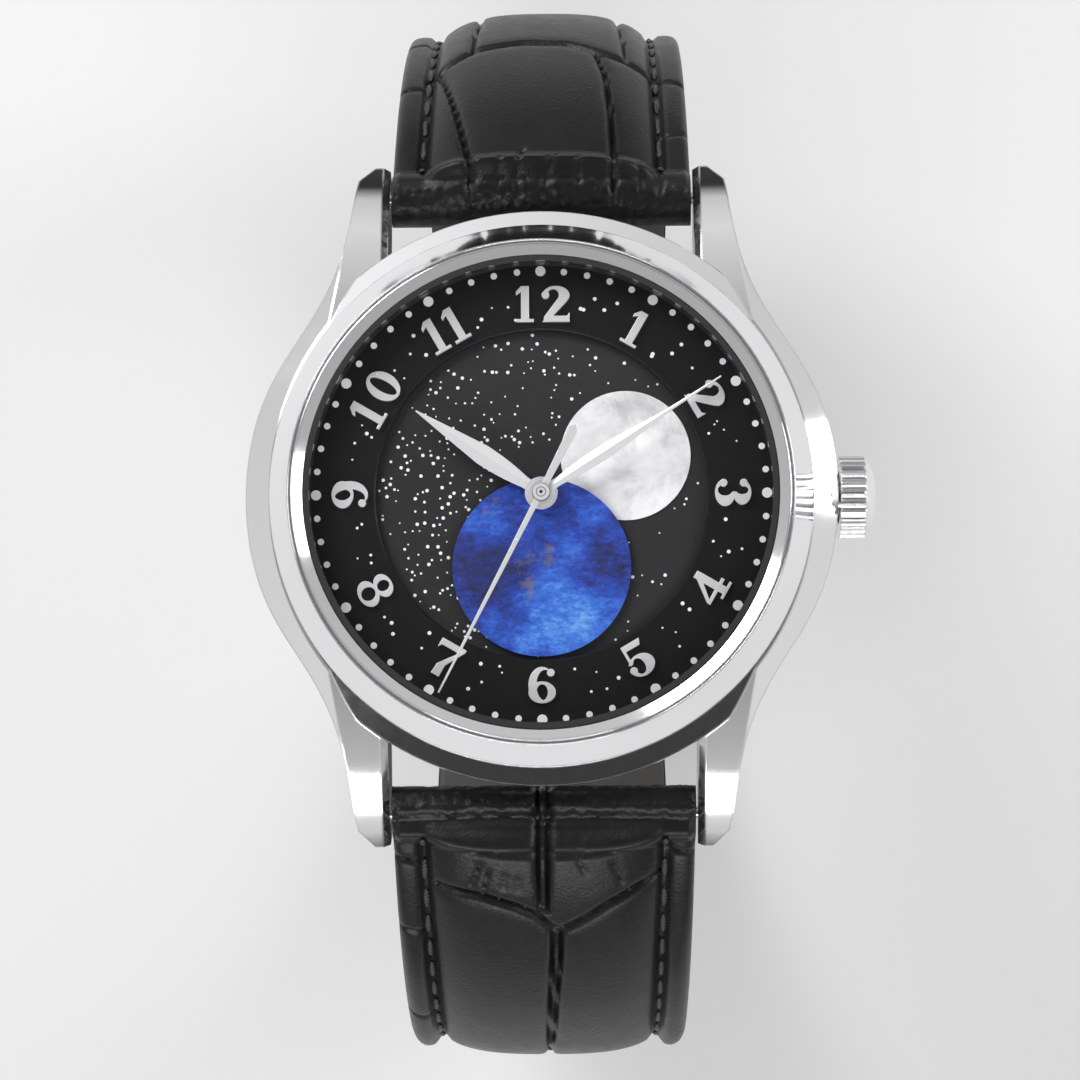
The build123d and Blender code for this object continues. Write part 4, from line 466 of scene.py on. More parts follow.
def glow_near(x, y, reach):
    """1 at a place on the stone, in millimetres, and 0 beyond its reach."""
    apart = (earth_side - x) * (earth_side - x) + (earth_up - y) * (earth_up - y)
    return blue_stone.node("MapRange", {"interpolation_type": "SMOOTHSTEP"}, {
        "Value": apart, "From Min": reach * reach, "From Max": 0.0, "To Min": 0.0, "To Max": 1.0,
    })


def glows(*spots):
    """The sum of soft spots, each given as (x, y, reach, strength)."""
    parts = [glow_near(x, y, reach) * strength for x, y, reach, strength in spots]
    return sum(parts[1:], parts[0])


pale = glows(
    (0.8, -8.9, 4.0, 0.17), (-2.4, -9.9, 2.2, 0.06), (4.2, -8.6, 3.4, 0.10),
    (-3.9, -2.2, 2.2, 0.12), (1.8, -4.6, 2.4, 0.08), (3.6, -0.9, 1.8, 0.06),
)
deep = glows((-4.0, -5.2, 3.6, 0.12), (4.2, -5.4, 2.6, 0.10), (-1.8, -8.9, 1.5, 0.12))
tone = blue_stone.ramp(
    cloud * 0.62 + grain * 0.42 + pale - deep - 0.02,
    (0.32, (0.002, 0.005, 0.05)), (0.44, (0.003, 0.020, 0.23)), (0.54, (0.006, 0.060, 0.48)),
    (0.66, (0.03, 0.17, 0.74)), (0.78, (0.15, 0.40, 0.88)), (0.92, (0.50, 0.70, 0.96)),
)
land = blue_stone.noise(900, 6, blue_stone.place((1.2, 1, 1), location=(0.013, 0.021, 0)), 0.4, 0.7)
land_near = glows((-1.1, -5.0, 2.6, 1), (1.6, -4.3, 1.8, 1), (-3.2, -0.9, 1.6, 1), (-1.0, -6.9, 1.2, 1))
land_mask = blue_stone.ramp(land * 0.72 + land_near * 0.16, (0.53, (0, 0, 0)), (0.63, (0.55, 0.55, 0.55)))
land_tone = blue_stone.blend(grain, (0.04, 0.10, 0.13), (0.36, 0.20, 0.09))
blue_stone.set(
    Base_Color=blue_stone.blend(land_mask, tone, land_tone), Roughness=0.34 + grain * 0.25,
    Normal=blue_stone.bump(cloud * 0.6 + grain, 0.16 * mm, 0.9),
)
dress(blue_stone, "earth_plate")


# The movement, seen through the back: a rhodium-plated plate and bridges with fine stripes,
# gilt wheels, ruby jewels, blued springs and a half-disc rotor that winds it.
bridge_metal = Finish("striped bridge metal")
stripe = bridge_metal.node("TexWave", {"wave_type": "BANDS", "wave_profile": "SIN"}, {
    "Vector": bridge_metal.place((1, 1, 1), (0, 0, radians(30))), "Scale": 170,
})
bridge_metal.set(
    Base_Color=bridge_metal.blend(stripe, (0.55, 0.54, 0.52), (0.74, 0.73, 0.70)), Metallic=1.0,
    Roughness=0.22 + stripe * 0.16,
    Normal=bridge_metal.bump(stripe, 0.02 * mm, 0.5, bridge_metal.rounded(0.06 * mm)),
)
dress(bridge_metal, "barrel_bridge", "train_bridge", "balance_cock", "rotor")
plate_metal = Finish("pearled plate metal")
pearls = plate_metal.cells(900)
plate_metal.set(
    Base_Color=(0.66, 0.65, 0.62), Metallic=1.0, Roughness=0.25 + pearls * 0.25,
    Normal=plate_metal.bump(pearls, 0.01 * mm, 0.4),
)
dress(plate_metal, "main_plate")
gilt = Finish("gilt wheel brass")
turned_grain = gilt.noise(1800, 3)
gilt.set(
    Base_Color=gilt.blend(turned_grain, (0.72, 0.50, 0.18), (0.86, 0.66, 0.30)), Metallic=1.0,
    Roughness=0.24 + turned_grain * 0.14, Normal=gilt.rounded(0.03 * mm),
)
dress(
    gilt, "minute_wheel", "hour_wheel", "moon_wheel", "barrel", "barrel_cover", "centre_wheel",
    "third_wheel", "fourth_wheel", "escape_wheel", "balance_wheel",
)
turned_steel = polished("fine turned steel", (0.66, 0.66, 0.67), 0.18, 0.04 * mm)
dress(
    turned_steel, "spring_bars", "buckle_bar", "crown_tube", "winding_stem", "winding_pinion",
    "sliding_pinion", "barrel_arbor", "ratchet_wheel", "crown_wheel", "bridge_screws",
    "rotor_bearing", "pallet_fork", "cannon_pinion", "movement_ring",
)
spring_blue = Finish("blued spring steel")
spring_blue.set(
    Base_Color=spring_blue.blend(spring_blue.noise(700), (0.03, 0.05, 0.16), (0.06, 0.09, 0.26)),
    Metallic=1.0, Roughness=0.28,
)
dress(spring_blue, "mainspring", "hairspring")
ruby = Finish("ruby jewel")
ruby.set(
    Base_Color=ruby.blend(ruby.noise(900), (0.34, 0.01, 0.05), (0.52, 0.02, 0.10)), Roughness=0.08,
    Normal=ruby.rounded(0.05 * mm),
)
ruby.shader.inputs["Coat Weight"].default_value = 0.6
dress(ruby, "jewels")


# The case back: a steel ring, brushed round its axis, with six notches for its key.
back_steel = Finish("round-brushed back steel")
ring_place = back_steel.node("CombineXYZ", {}, {"X": back_steel.from_axis()})
rings = back_steel.noise(26000, 3, ring_place)
back_steel.set(
    Base_Color=(0.70, 0.70, 0.71), Metallic=1.0, Roughness=0.20 + rings * 0.16,
    Normal=back_steel.bump(rings, 0.006 * mm, 0.5, back_steel.rounded(0.10 * mm)),
)
dress(back_steel, "case_back")

# The strap's leather: black, folded round the spring bars at the lugs, with a raised pad down the
# middle, creased like large scales, and a flat border outside the stitching. Two halves, each one
# skin of leather, which goes down the wrist side, round the loop and under or through the buckle.
bar_reach, bar_height = joints["strap_12_swing"]["pos_m"][1:]
loop_radius, side_radius, upper_radius = 46.8 * mm, 14.4 * mm, 31.75 * mm
loop_turn, side_turn, bar_turn = radians(47), radians(110), radians(152)
edge = 1.0 * mm
split = 0.3 * mm
knuckle = 2.0 * mm
bar_bore = 0.9 * mm
leather_round = 0.45 * mm


def heading(turn):
    return Vector((0, sin(turn), -cos(turn)))


def ease(share):
    share = min(1, max(0, share))
    return share * share * (3 - 2 * share)


loop_centre = Vector((0, 0, bar_height))
side_centre = loop_centre + heading(loop_turn) * (loop_radius - side_radius)
upper_centre = side_centre + heading(side_turn) * (side_radius - upper_radius)
upper_run = upper_radius * (bar_turn - side_turn)
side_run = upper_run + side_radius * (side_turn - loop_turn)


def strap_turn(run):
    if run < upper_run:
        return bar_turn - run / upper_radius
    if run < side_run:
        return side_turn - (run - upper_run) / side_radius
    return loop_turn - (run - side_run) / loop_radius


def run_at(turn):
    return side_run + (loop_turn - turn) * loop_radius


def strap_place(x, run, rise):
    turn = strap_turn(run)
    if run < upper_run:
        middle = upper_centre + heading(turn) * (upper_radius + rise)
    elif run < side_run:
        middle = side_centre + heading(turn) * (side_radius + rise)
    else:
        middle = loop_centre + heading(turn) * (loop_radius + rise)
    return middle + Vector((x, 0, 0))


def along(table, value):
    """A value read between the rows of a table."""
    for (low, first), (high, second) in zip(table, table[1:]):
        if value <= high:
            return first + (second - first) * max(0, (value - low) / (high - low))
    return table[-1][1]


border_half = [(0, 10.85 * mm), (8 * mm, 10.72 * mm), (upper_run, 10.45 * mm), (run_at(0), 9.0 * mm)]
tail_run = run_at(radians(-38))
tip_length = 9.0 * mm


def twelve_half(run):
    return along(border_half, run)


def six_half(run):
    half = along(border_half, run)
    to_tip = max(0, tail_run - run) / tip_length
    return half * min(1, to_tip) ** 0.42 if to_tip < 1 else half


tail_rise = 2.3 * mm
tail_rise_start, tail_rise_span = radians(12), radians(13.5)


def tail_shift(run):
    """How far the six half lifts to lie over the twelve half, beyond the buckle."""
    share = (tail_rise_start - strap_turn(run)) / tail_rise_span
    return tail_rise * ease(share) if run > side_run else 0


# Creases of the embossed scales, as lines over (across, run) in millimetres with a depth and
# half width: those that the photo shows on the visible end of each half, then plainer ones.
twelve_creases = [
    (0.62, 0.34, (-7.9, 13.2), (-7.2, 11), (-6.5, 7.7), (-5.8, 4.2), (-5.2, 1.2), (-5.1, -0.4)),
    (0.62, 0.34, (4.0, 13.6), (4.7, 10.6), (5.0, 7), (5.2, 3), (5.3, 0.8), (5.2, -0.4)),
    (0.60, 0.42, (-8.3, 12.7), (-5.1, 14.3), (-1.5, 14.9), (1.8, 14.7), (4.1, 13.6), (8.2, 12.4)),
    (0.55, 0.32, (-5.3, 14.3), (-5.2, 17.5), (-4.9, 22), (-5.0, 28)),
    (0.50, 0.32, (6.3, 13.0), (6.1, 16.5), (5.8, 21), (5.5, 28)),
    (0.30, 0.24, (-1.3, 1.9), (-1.5, 0.9), (-1.8, -0.2)),
    (0.32, 0.24, (1.1, 1.2), (0.7, 0.5), (0.1, -0.3)),
    (0.28, 0.22, (2.8, 0.9), (2.6, -0.3)),
    (0.22, 0.22, (-3.0, 0.8), (-3.1, -0.3)),
    (0.22, 0.22, (7.0, 0.9), (7.2, -0.3)),
    (0.20, 0.22, (8.6, 0.7), (8.8, -0.3)),
    (0.45, 0.40, (-8.3, 27.5), (-3, 28.6), (2.5, 28.2), (8.0, 27.0)),
    (0.45, 0.36, (-1.0, 28.4), (-0.8, 34), (-1.2, 41)),
    (0.40, 0.40, (-7.8, 40.4), (-1.2, 41.4), (7.6, 40.2)),
]
six_creases = [
    (0.62, 0.26, (-0.45, -2.6), (-0.5, 1), (-0.45, 3.4), (-0.35, 6.0)),
    (0.62, 0.26, (0.30, -2.6), (0.30, 1), (0.25, 3.4), (0.15, 6.3)),
    (0.60, 0.36, (-7.6, 4.9), (-4.5, 5.1), (-2.2, 5.8), (-0.6, 6.6), (0.4, 7.6), (1.1, 8.0)),
    (0.60, 0.36, (1.1, 8.0), (2.5, 7.2), (4.6, 5.8), (6.8, 4.7), (8.3, 4.3)),
    (0.60, 0.27, (0.55, 8.0), (0.45, 11), (0.25, 15.0), (0.0, 22), (0.0, 29)),
    (0.60, 0.27, (1.20, 8.0), (1.10, 11), (0.80, 15.0), (0.45, 22), (0.0, 29)),
    (0.25, 0.22, (-4.6, 2.6), (-4.9, 3.6), (-5.3, 4.4)),
    (0.22, 0.22, (-4.0, 3.1), (-4.3, 4.5)),
    (0.18, 0.20, (2.6, 0.9), (2.5, 2.3), (2.9, 3.2)),
    (0.24, 0.22, (4.9, 2.6), (5.3, 3.5), (5.5, 4.3)),
    (0.16, 0.20, (-2.8, 3.4), (-2.9, 4.4)),
    (0.16, 0.20, (-1.9, 3.6), (-1.9, 4.5)),
    (0.40, 0.40, (-8.0, 29.2), (0.0, 30.4), (7.8, 29.0)),
    (0.40, 0.36, (-3.4, 30.0), (-3.2, 36), (-3.5, 43)),
    (0.40, 0.36, (3.4, 30.0), (3.5, 36), (3.2, 43)),
    (0.36, 0.40, (-7.4, 43.0), (0.0, 44.2), (7.4, 43.0)),
]
twelve_border_marks = [
    (0.22, 0.25, (-10.9, 10.8), (-8.7, 11.2)), (0.26, 0.28, (8.7, 12.0), (10.9, 11.6)),
    (0.20, 0.25, (-10.9, 19.6), (-8.6, 20.4)), (0.18, 0.25, (8.6, 5.0), (10.9, 5.4)),
]
six_border_marks = [
    (0.30, 0.28, (-10.9, 2.9), (-8.9, 3.3)), (0.26, 0.26, (9.0, 2.4), (10.9, 2.6)),
    (0.18, 0.25, (-10.9, 9.0), (-9.0, 9.4)), (0.18, 0.25, (-10.9, 19.0), (-8.6, 19.8)),
]


def crease_depth(lines, x, run):
    """How deep the creases cut at a place, deepest at their lines and rounded beside them."""
    x, run = x / mm, run / mm
    depth = 0
    for cut, half, *line in lines:
        wide = 3.2 * half
        for (ax, ar), (bx, br) in zip(line, line[1:]):
            if min(ax, bx) - wide < x < max(ax, bx) + wide and min(ar, br) - wide < run < max(ar, br) + wide:
                length = (bx - ax) ** 2 + (br - ar) ** 2
                share = min(1, max(0, ((x - ax) * (bx - ax) + (run - ar) * (br - ar)) / length))
                apart = hypot(x - ax - share * (bx - ax), run - ar - share * (br - ar))
                if apart < wide:
                    near = max(0, 1 - apart / half)
                    soft = (1 - apart / wide) ** 2
                    depth = max(depth, cut * (0.72 * near + 0.28 * soft))
    return depth * mm


pad_half_table = [
    (0, 8.45 * mm), (upper_run, 7.85 * mm), (run_at(radians(47)), 7.6 * mm), (run_at(0), 6.7 * mm),
]
twelve_pad_table = [
    (0.6 * mm, 1.0), (4 * mm, 1.0), (16 * mm, 1.0), (upper_run, 0.98), (side_run, 0.14),
    (run_at(radians(41)), 0.0),
]
six_pad_table = [
    (1.6 * mm, 0.95), (5 * mm, 1.0), (16 * mm, 0.95), (upper_run, 0.80), (run_at(radians(47)), 0.32),
    (run_at(radians(25)), 0.0),
]
channel_depth = 0.28 * mm
channel_half = 0.55 * mm
stitch_inset = 2.15 * mm


def pad_rise(table, x, run, full):
    half = along(pad_half_table, run)
    side = min(1, abs(x) / half)
    return full * along(table, run) * (1 - side ** 3) ** 0.7


def border_shape(x, run, half, puff):
    """The border's round outer corner, its soft crown and the stitch channel beside the pad."""
    beyond = abs(x) - (half - leather_round)
    rounding = leather_round - sqrt(max(0, leather_round ** 2 - beyond ** 2)) if beyond > 0 else 0
    inner = half - stitch_inset
    middle = (inner + half) / 2
    crown = max(0, 1 - ((abs(x) - middle) / (half - middle)) ** 2) * puff if abs(x) > inner else 0
    channel = max(0, 1 - ((abs(x) - inner) / channel_half) ** 2) * channel_depth
    return crown - rounding - channel


rough_noise = random.Random(5)
rough_rows, rough_columns = 24, 160
rough_table = [[rough_noise.uniform(-1, 1) for n in range(rough_columns)] for m in range(rough_rows)]
border_puff = 0.25 * mm
twelve_pad_height = 2.15 * mm
twelve_front_share, twelve_front_run = 0.35, 1.1 * mm
six_pad_height = 2.0 * mm
six_front_bow, six_front_half, six_front_back, six_front_run = 0.9 * mm, 9 * mm, 0.5 * mm, 1.9 * mm
six_puff = 0.45 * mm
six_puff_start, six_puff_in = 6 * mm, 9 * mm
six_puff_end, six_puff_out = 34 * mm, 8 * mm
six_dip, six_dip_run = 0.45 * mm, 0.9 * mm


def twelve_rise(x, run):
    half = twelve_half(run)
    pad = pad_rise(twelve_pad_table, x, run, twelve_pad_height)
    base = edge + border_shape(x, run, half, border_puff)
    if run < knuckle:
        base = max(base, sqrt(knuckle ** 2 - run ** 2) - max(0, abs(x) - half + leather_round))
    pad *= ease(twelve_front_share + run / twelve_front_run)
    return base + pad - crease_depth(twelve_creases + twelve_border_marks, x, run)


def six_rise(x, run):
    half = six_half(run)
    start = six_front_bow * (1 - (x / six_front_half) ** 2) - six_front_back
    pad = pad_rise(six_pad_table, x, run, six_pad_height) * ease((run - start) / six_front_run)
    swell = ease((run - six_puff_start) / six_puff_in) * ease((six_puff_end - run) / six_puff_out)
    puff = border_puff + six_puff * swell
    base = edge + border_shape(x, run, half, puff)
    if run < knuckle:
        dip = six_dip * ease(1 - run / six_dip_run)
        base = max(base, sqrt(knuckle ** 2 - run ** 2) - max(0, abs(x) - half + leather_round) - dip)
    return base + pad - crease_depth(six_creases + six_border_marks, x, run) + tail_shift(run)


# Round the spring bar each half goes as a half turn and then a short flap under itself.
roll_run = 4.7 * mm
flap_run = 2.2 * mm
bar_point = Vector((0, bar_reach, bar_height))
hinge_turn = radians(4.4)
hinge_run = run_at(hinge_turn)
hinge_rise = -0.45 * mm
hinge_knuckle = 1.45 * mm
hinge_bore = 0.7 * mm
hinge_roll = 3.5 * mm
hinge_flap = 2.5 * mm
flap_settle = 0.55 * mm
bore_close, bore_close_run = 1.2 * mm, 2.4 * mm
hinge_inner, hinge_settle, hinge_settle_run = 0.25 * mm, 0.55 * mm, 2.5 * mm
hinge_flap_high, hinge_flap_fall = 1.15 * mm, 0.80 * mm
rough_height, rough_start, rough_end = 0.10 * mm, 0.4 * mm, 3 * mm
rows_per_mm, columns_per_mm, rough_half = 4, 6, 11
twelve_relief, six_relief = 1.3 * mm, 0.9 * mm
ridge_height, ridge_rate, ridge_first, ridge_last, ridge_fade = 0.13 * mm, 5.2, 0.5, 2.4, 2
trough_depth, trough_middle, trough_reach = 0.55 * mm, 0.5 * mm, 0.9 * mm
trough_side_share, trough_half = 0.6, 11 * mm
hinge_point = strap_place(0, hinge_run, hinge_rise)


def rolled(hinge, turn, angle, radius):
    onward = Vector((0, -cos(turn), -sin(turn)))
    return hinge + heading(turn) * radius * cos(angle) + onward * radius * sin(angle)


def roll_relief(rise_at_bar, x, t, relief):
    """The outside of the roll: it comes down from the pad's front, then keeps its round."""
    down = ease(1 + t / relief)
    row = rough_table[int(-t / mm * rows_per_mm) % rough_rows]
    grain = row[int((x / mm + rough_half) * columns_per_mm) % rough_columns]
    rough = rough_height * grain * ease(-t / rough_start) * ease((rough_end + t) / mm)
    return knuckle + (rise_at_bar - knuckle) * down + rough


def flap_rise(back, outer):
    """The flap behind the bar, which lies under the leather it folded back from."""
    if outer:
        return max(edge, sqrt(max(0, knuckle ** 2 - back ** 2)))
    return bar_bore - flap_settle * ease(back / flap_run)


def inner_rise(t):
    """The wrist side beyond the bar, which closes from the bore to the lining."""
    return bar_bore - bore_close * ease(t / bore_close_run)


def twelve_point(x, t, outer):
    sides = Vector((x, 0, 0))
    if t < -roll_run:
        back = -roll_run - t
        return strap_place(x, back, -flap_rise(back, outer))
    if t < 0:
        radius = roll_relief(twelve_rise(x, 0), x, t, twelve_relief) if outer else bar_bore
        return rolled(bar_point, bar_turn, t / roll_run * pi, radius) + sides
    if t <= hinge_run:
        at_hinge = hinge_inner - hinge_settle * ease((hinge_run - t) / hinge_settle_run)
        inner = max(-split, inner_rise(t), at_hinge)
        return strap_place(x, t, twelve_rise(x, t) if outer else inner)
    if t < hinge_run + hinge_roll:
        angle = (t - hinge_run) / hinge_roll * pi
        radius = hinge_knuckle + (twelve_rise(x, hinge_run) - edge) * cos(angle / 2) if outer else hinge_bore
        return rolled(hinge_point, hinge_turn, angle, radius) + sides
    back = t - hinge_run - hinge_roll
    low = sqrt(max(0, hinge_knuckle ** 2 - back ** 2)) - hinge_rise
    rise = max(edge, low) if outer else hinge_flap_high - hinge_flap_fall * ease(back / hinge_flap)
    return strap_place(x, hinge_run - back, -rise)


def six_point(x, t, outer):
    sides = Vector((x, 0, 0))
    if t < -roll_run:
        back = -roll_run - t
        place = strap_place(x, back, -flap_rise(back, outer))
    elif t < 0:
        angle = t / roll_run * pi
        fade = ease((-angle - ridge_first) * ridge_fade) * ease((ridge_last + angle) * ridge_fade)
        ridges = ridge_height * sin(-angle * ridge_rate) * fade
        trough = trough_depth * ease(1 - abs(t + trough_middle) / trough_reach)
        trough *= 1 - trough_side_share * (x / trough_half) ** 2
        uncreased = six_rise(x, 0) + crease_depth(six_creases, x, 0)
        radius = roll_relief(uncreased, x, t, six_relief) + ridges - trough
        radius -= crease_depth(six_creases, x, t)
        place = rolled(bar_point, bar_turn, angle, radius if outer else bar_bore) + sides
    else:
        inner = max(-split, inner_rise(t)) + tail_shift(t)
        place = strap_place(x, min(t, tail_run), six_rise(x, t) if outer else inner)
    place.y = -place.y
    return place


def strap_sheet(name, finish, half_at, point_at, columns, rows, holes=()):
    """A sheet of leather: a grid over across and run, with holes, made thick and then laid."""
    bm = bmesh.new()
    row_count = len(rows) - 1
    bmesh.ops.create_grid(bm, x_segments=columns, y_segments=row_count, size=1)
    half_columns = columns / 2
    edge_columns = 4
    for v in bm.verts:
        column = round(abs(v.co.x) * half_columns)
        run = rows[round((v.co.y + 1) / 2 * row_count)]
        half = half_at(run)
        inner = half_columns - edge_columns
        if column <= inner:
            x = (half - leather_round) * column / inner
        else:
            x = half - leather_round + leather_round * sin((column - inner) / edge_columns * pi / 2)
            x = min(x, half)
        if half <= 2 * leather_round:
            x = half * column / half_columns
        v.co = (x if v.co.x >= 0 else -x, run, 0)
    rim = set(v for v in bm.verts if v.is_boundary)
    for low_run, high_run, reach in holes:
        inside = [
            f for f in bm.faces
            if hypot(f.calc_center_median().x, max(
                0, low_run - f.calc_center_median().y, f.calc_center_median().y - high_run)) < reach
        ]
        bmesh.ops.delete(bm, geom=inside, context="FACES")
        for v in bm.verts:
            if v.is_boundary and v not in rim:
                nearest = min(high_run, max(low_run, v.co.y))
                out = Vector((v.co.x, v.co.y - nearest, 0))
                v.co = Vector((0, nearest, 0)) + out.normalized() * reach
                rim.add(v)
    lower = set(bm.verts)
    bmesh.ops.extrude_face_region(bm, geom=bm.faces[:])
    for v in bm.verts:
        v.co = point_at(v.co.x, v.co.y, v not in lower)
    sheet = finished(name, bm, finish)
    sheet.data.shade_smooth()
    sheet.data.set_sharp_from_angle(angle=sharp_angle)
    return sheet


sharp_angle = radians(50)


def steps(first, last, size):
    count = max(1, round((last - first) / size))
    return [first + (last - first) * n / count for n in range(count)]


fine_start, fine_end = -1.6 * mm, 29 * mm
flap_step, roll_step, fine_step, plain_step, end_step = 0.55 * mm, 0.3 * mm, 0.175 * mm, 0.45 * mm, 0.5 * mm
hinge_near, hinge_end = hinge_run - 2.5 * mm, hinge_run + hinge_roll
bar_rows = steps(-roll_run - flap_run, -roll_run, flap_step) + steps(-roll_run, fine_start, roll_step)
bar_rows += steps(fine_start, fine_end, fine_step)
twelve_rows = bar_rows + steps(fine_end, hinge_near, plain_step) + steps(hinge_near, hinge_end, roll_step)
twelve_rows += steps(hinge_end, hinge_end + hinge_flap, end_step) + [hinge_end + hinge_flap]
tang_half = 1.3 * mm
tang_room, tang_past = 3.2 * mm, 1.0 * mm
tang_slot = (hinge_run - tang_room + tang_half, hinge_end + tang_past, tang_half)

black_leather = Finish("black creased leather")
grain_cells = black_leather.cells(3600, feature="F1")
fine_grain = black_leather.noise(5200, 4)
wrinkles = black_leather.noise(900, 6, black_leather.place((1, 0.5, 0.6)), 0.8, 0.62)
patches = black_leather.noise(130, 3)
leather_relief = grain_cells * 0.22 + fine_grain * 0.30 + wrinkles * 0.55
black_leather.set(
    Base_Color=black_leather.blend(
        patches * 0.5 + wrinkles * 0.5, (0.004, 0.004, 0.0045), (0.014, 0.014, 0.0145),
    ),
    Roughness=0.22 + wrinkles * 0.20 + patches * 0.10,
    Normal=black_leather.bump(leather_relief, 0.09 * mm, 0.6),
)
black_leather.shader.inputs["Specular IOR Level"].default_value = 0.3

skin_columns = 100
strap_12_skin = strap_sheet(
    "strap_12_skin", black_leather, twelve_half, twelve_point, skin_columns, twelve_rows, [tang_slot],
)
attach(strap_12_skin, "strap_12_half")
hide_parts("strap_12")

hole_turns = (7.5, 15, 22.5, 30)
hole_runs = [run_at(radians(-angle)) for angle in hole_turns]
hole_reach = 0.9 * mm
tang_middle = run_at(radians(5.2))
tang_reach = tang_room - tang_half
six_holes = [(tang_middle - tang_reach, tang_middle + tang_reach, tang_half)]
six_holes += [(run, run, hole_reach) for run in hole_runs]
holes_start, holes_end = run_at(radians(10)), run_at(radians(-31.5))
hole_step, tail_step, tip_step, tip_near = 0.28 * mm, 0.35 * mm, 0.1 * mm, 1.2 * mm
hole_rows = steps(holes_start, holes_end, hole_step)
hole_rows += steps(holes_end, tail_run - tip_near, tail_step)
hole_rows += steps(tail_run - tip_near, tail_run - tip_step, tip_step)
hole_rows += [tail_run - 0.04 * mm, tail_run - 0.01 * mm]
six_rows = bar_rows + steps(fine_end, holes_start, end_step) + hole_rows

strap_6_skin = strap_sheet(
    "strap_6_skin", black_leather, six_half, six_point, skin_columns, six_rows, six_holes,
)
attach(strap_6_skin, "strap_6_half")
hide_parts("strap_6")


# The lining: thin smooth calf against the wrist, glued and sewn under each half.
lining_start = run_at(radians(7.5))
lining_lug = 2.1 * mm
lining_inset = 0.12 * mm
lining_gap = 0.01 * mm
lining_bevel_start, lining_bevel = 0.3 * mm, 0.6
lining_step = 0.6 * mm


def twelve_lining_half(run):
    return twelve_half(run) - lining_inset


def six_lining_half(run):
    return max(0.001 * mm, six_half(run) - lining_inset)


def lining_rise(x, half, outer):
    """Flat against the leather, and bevelled at the side towards the wrist."""
    if outer:
        return -split - lining_gap
    return -edge + max(0, abs(x) - (half - lining_bevel_start)) * lining_bevel


def twelve_lining_point(x, t, outer):
    return strap_place(x, t, lining_rise(x, twelve_half(t) - lining_inset, outer))


def six_lining_point(x, t, outer):
    place = strap_place(x, t, lining_rise(x, six_half(t) - lining_inset, outer) + tail_shift(t))
    place.y = -place.y
    return place


calf = Finish("smooth black calf lining")
calf_grain = calf.cells(2600)
calf.set(
    Base_Color=calf.blend(calf.noise(300, 4), (0.030, 0.027, 0.025), (0.055, 0.050, 0.046)),
    Roughness=0.50 + calf.noise(1200, 3) * 0.15, Normal=calf.bump(calf_grain, 0.03 * mm, 0.5),
)
lining_rows = steps(lining_lug, lining_start, lining_step) + [lining_start]
strap_12_calf = strap_sheet(
    "strap_12_calf", calf, twelve_lining_half, twelve_lining_point, 40, lining_rows,
)
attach(strap_12_calf, "strap_12_half")
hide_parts("strap_12_lining")
six_lining_rows = steps(lining_lug, holes_start, lining_step) + hole_rows
strap_6_calf = strap_sheet(
    "strap_6_calf", calf, six_lining_half, six_lining_point, 60, six_lining_rows, six_holes,
)
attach(strap_6_calf, "strap_6_half")
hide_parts("strap_6_lining")


# Stitches: waxed black thread, one row in the channel along each edge of each half.
thread = Finish("waxed black thread")
thread_twist = thread.node("TexWave", {"wave_type": "BANDS", "bands_direction": "DIAGONAL"}, {
    "Vector": thread.place(), "Scale": 1500,
})
thread.set(
    Base_Color=thread.blend(thread_twist, (0.020, 0.020, 0.021), (0.070, 0.070, 0.072)),
    Roughness=0.45 + thread_twist * 0.1, Normal=thread.bump(thread_twist, 0.05 * mm, 0.6),
)


stitch_pitch = 2.5 * mm
first_stitch = 1.6 * mm
stitch_lift = 0.06 * mm
look_along = 0.3 * mm
stitch_shape = (1.0, 0.26, 0.2, 1)


def stitch_row(name, body, half_at, point_at, last_run):
    bm = bmesh.new()
    for side in (-1, 1):
        run = first_stitch
        while run < last_run:
            x = side * (half_at(run) - stitch_inset)
            middle = point_at(x, run, True)
            ahead, behind = point_at(x, run + look_along, True), point_at(x, run - look_along, True)
            onward = (ahead - behind).normalized()
            outward = onward.cross(Vector((1, 0, 0))).normalized()
            if outward.dot(middle - loop_centre) < 0:
                outward = -outward
            turn = Matrix((onward, Vector((1, 0, 0)), outward)).transposed().to_4x4()
            place = Matrix.Translation(middle + outward * stitch_lift) @ turn @ Matrix.Diagonal(stitch_shape)
            bmesh.ops.create_uvsphere(bm, u_segments=8, v_segments=6, radius=mm, matrix=place)
            run += stitch_pitch
    row = finished(name, bm, thread)
    row.data.shade_smooth()
    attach(row, body)


stitch_end, tail_stitch_end = 4 * mm, 10 * mm
stitch_row("strap_12_stitches", "strap_12_half", twelve_half, twelve_point, hinge_run - stitch_end)
stitch_row("strap_6_stitches", "strap_6_half", six_half, six_point, tail_run - tail_stitch_end)


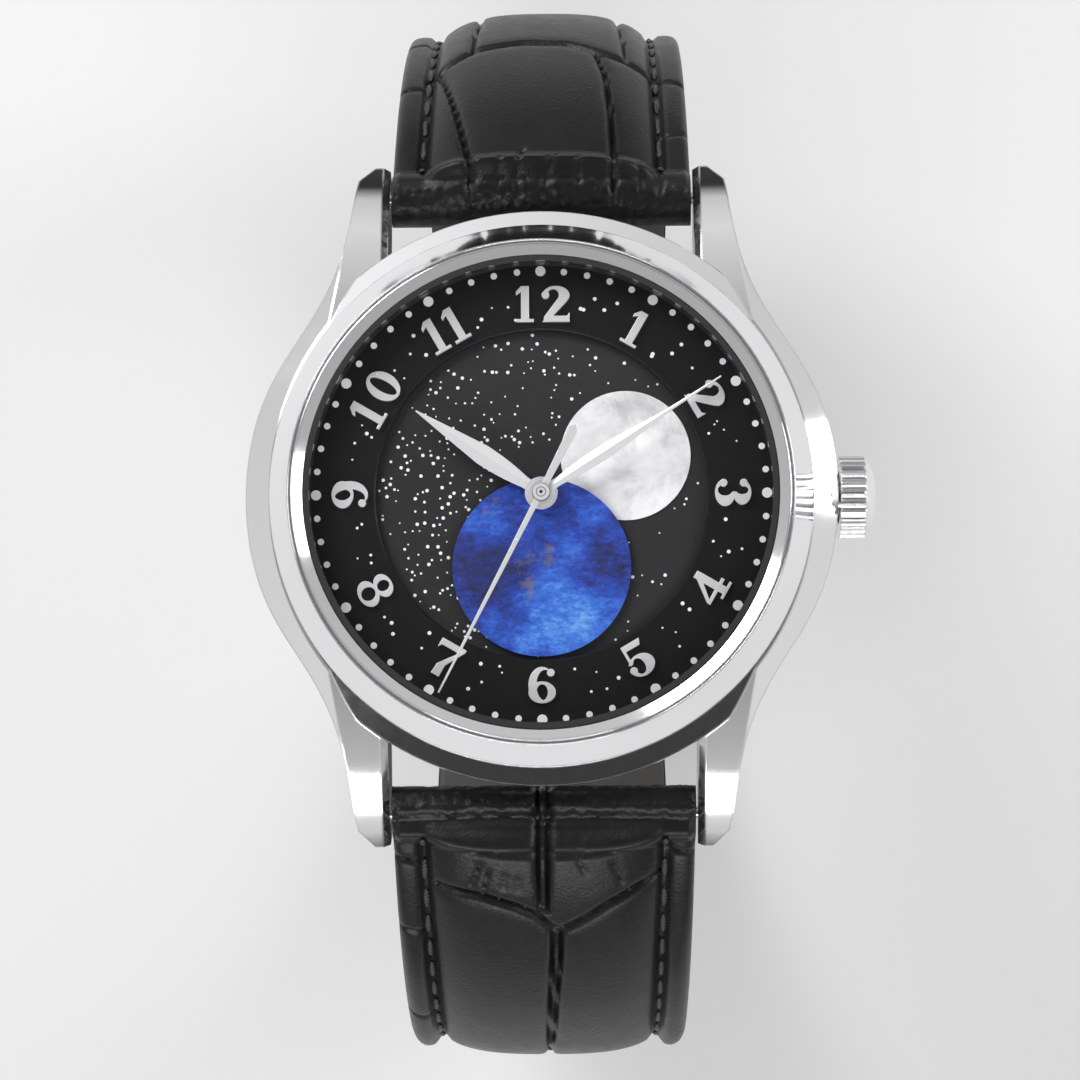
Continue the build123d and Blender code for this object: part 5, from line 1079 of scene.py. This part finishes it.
# The keepers: two closed loops of the same leather that hold the tail down, one sewn to the
# twelve half beside the buckle and one free to slide.
def keeper_loop(name, turn, body, node):
    clear = 0.3 * mm
    thick = 1.0 * mm
    low = loop_radius - edge - clear
    high = loop_radius + tail_rise + edge + clear
    half_across = 9.0 * mm + 2 * clear + thick / 2
    half_up = (high - low + thick) / 2
    middle = loop_centre + heading(turn) * (low + high) / 2
    onward = Vector((0, cos(turn), sin(turn)))
    square, round_off = 7, 3.4
    across_count, section_count = 96, 28
    half_long = 2.2 * mm

    def ring(angle, power, wide, tall):
        c, s = cos(angle), sin(angle)
        side = wide * abs(c) ** (2 / power)
        rise = tall * abs(s) ** (2 / power)
        return side if c > 0 else -side, rise if s > 0 else -rise

    bm = bmesh.new()
    bmesh.ops.create_grid(bm, x_segments=across_count, y_segments=section_count, size=1)
    for v in bm.verts:
        angle = (v.co.x + 1) * pi
        around = (v.co.y + 1) * pi
        x, up = ring(angle, square, half_across, half_up)
        ahead_x, ahead_up = ring(angle + 0.01, square, half_across, half_up)
        behind_x, behind_up = ring(angle - 0.01, square, half_across, half_up)
        out = Vector((ahead_up - behind_up, behind_x - ahead_x, 0)).normalized()
        shift, lift = ring(around, round_off, half_long, thick / 2)
        x += out.x * lift
        up += out.y * lift
        v.co = middle + Vector((x, 0, 0)) + heading(turn) * up + onward * shift
    bmesh.ops.remove_doubles(bm, verts=bm.verts, dist=0.002 * mm)
    keeper = finished(name, bm, black_leather)
    keeper.data.shade_smooth()
    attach(keeper, body)
    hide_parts(node)


fixed_keeper_turn, free_keeper_turn = radians(10.8), radians(22)
keeper_loop("fixed_keeper_loop", fixed_keeper_turn, "strap_12_half", "fixed_keeper")
keeper_loop("free_keeper_loop", free_keeper_turn, "loose_keeper", "free_keeper")


# The buckle: a polished steel frame and tang on a bar at the end of the twelve half.
buckle_steel = polished("polished buckle steel", (0.78, 0.78, 0.79), 0.07, 0.25 * mm)
dress(buckle_steel, "buckle_frame", "buckle_tang")
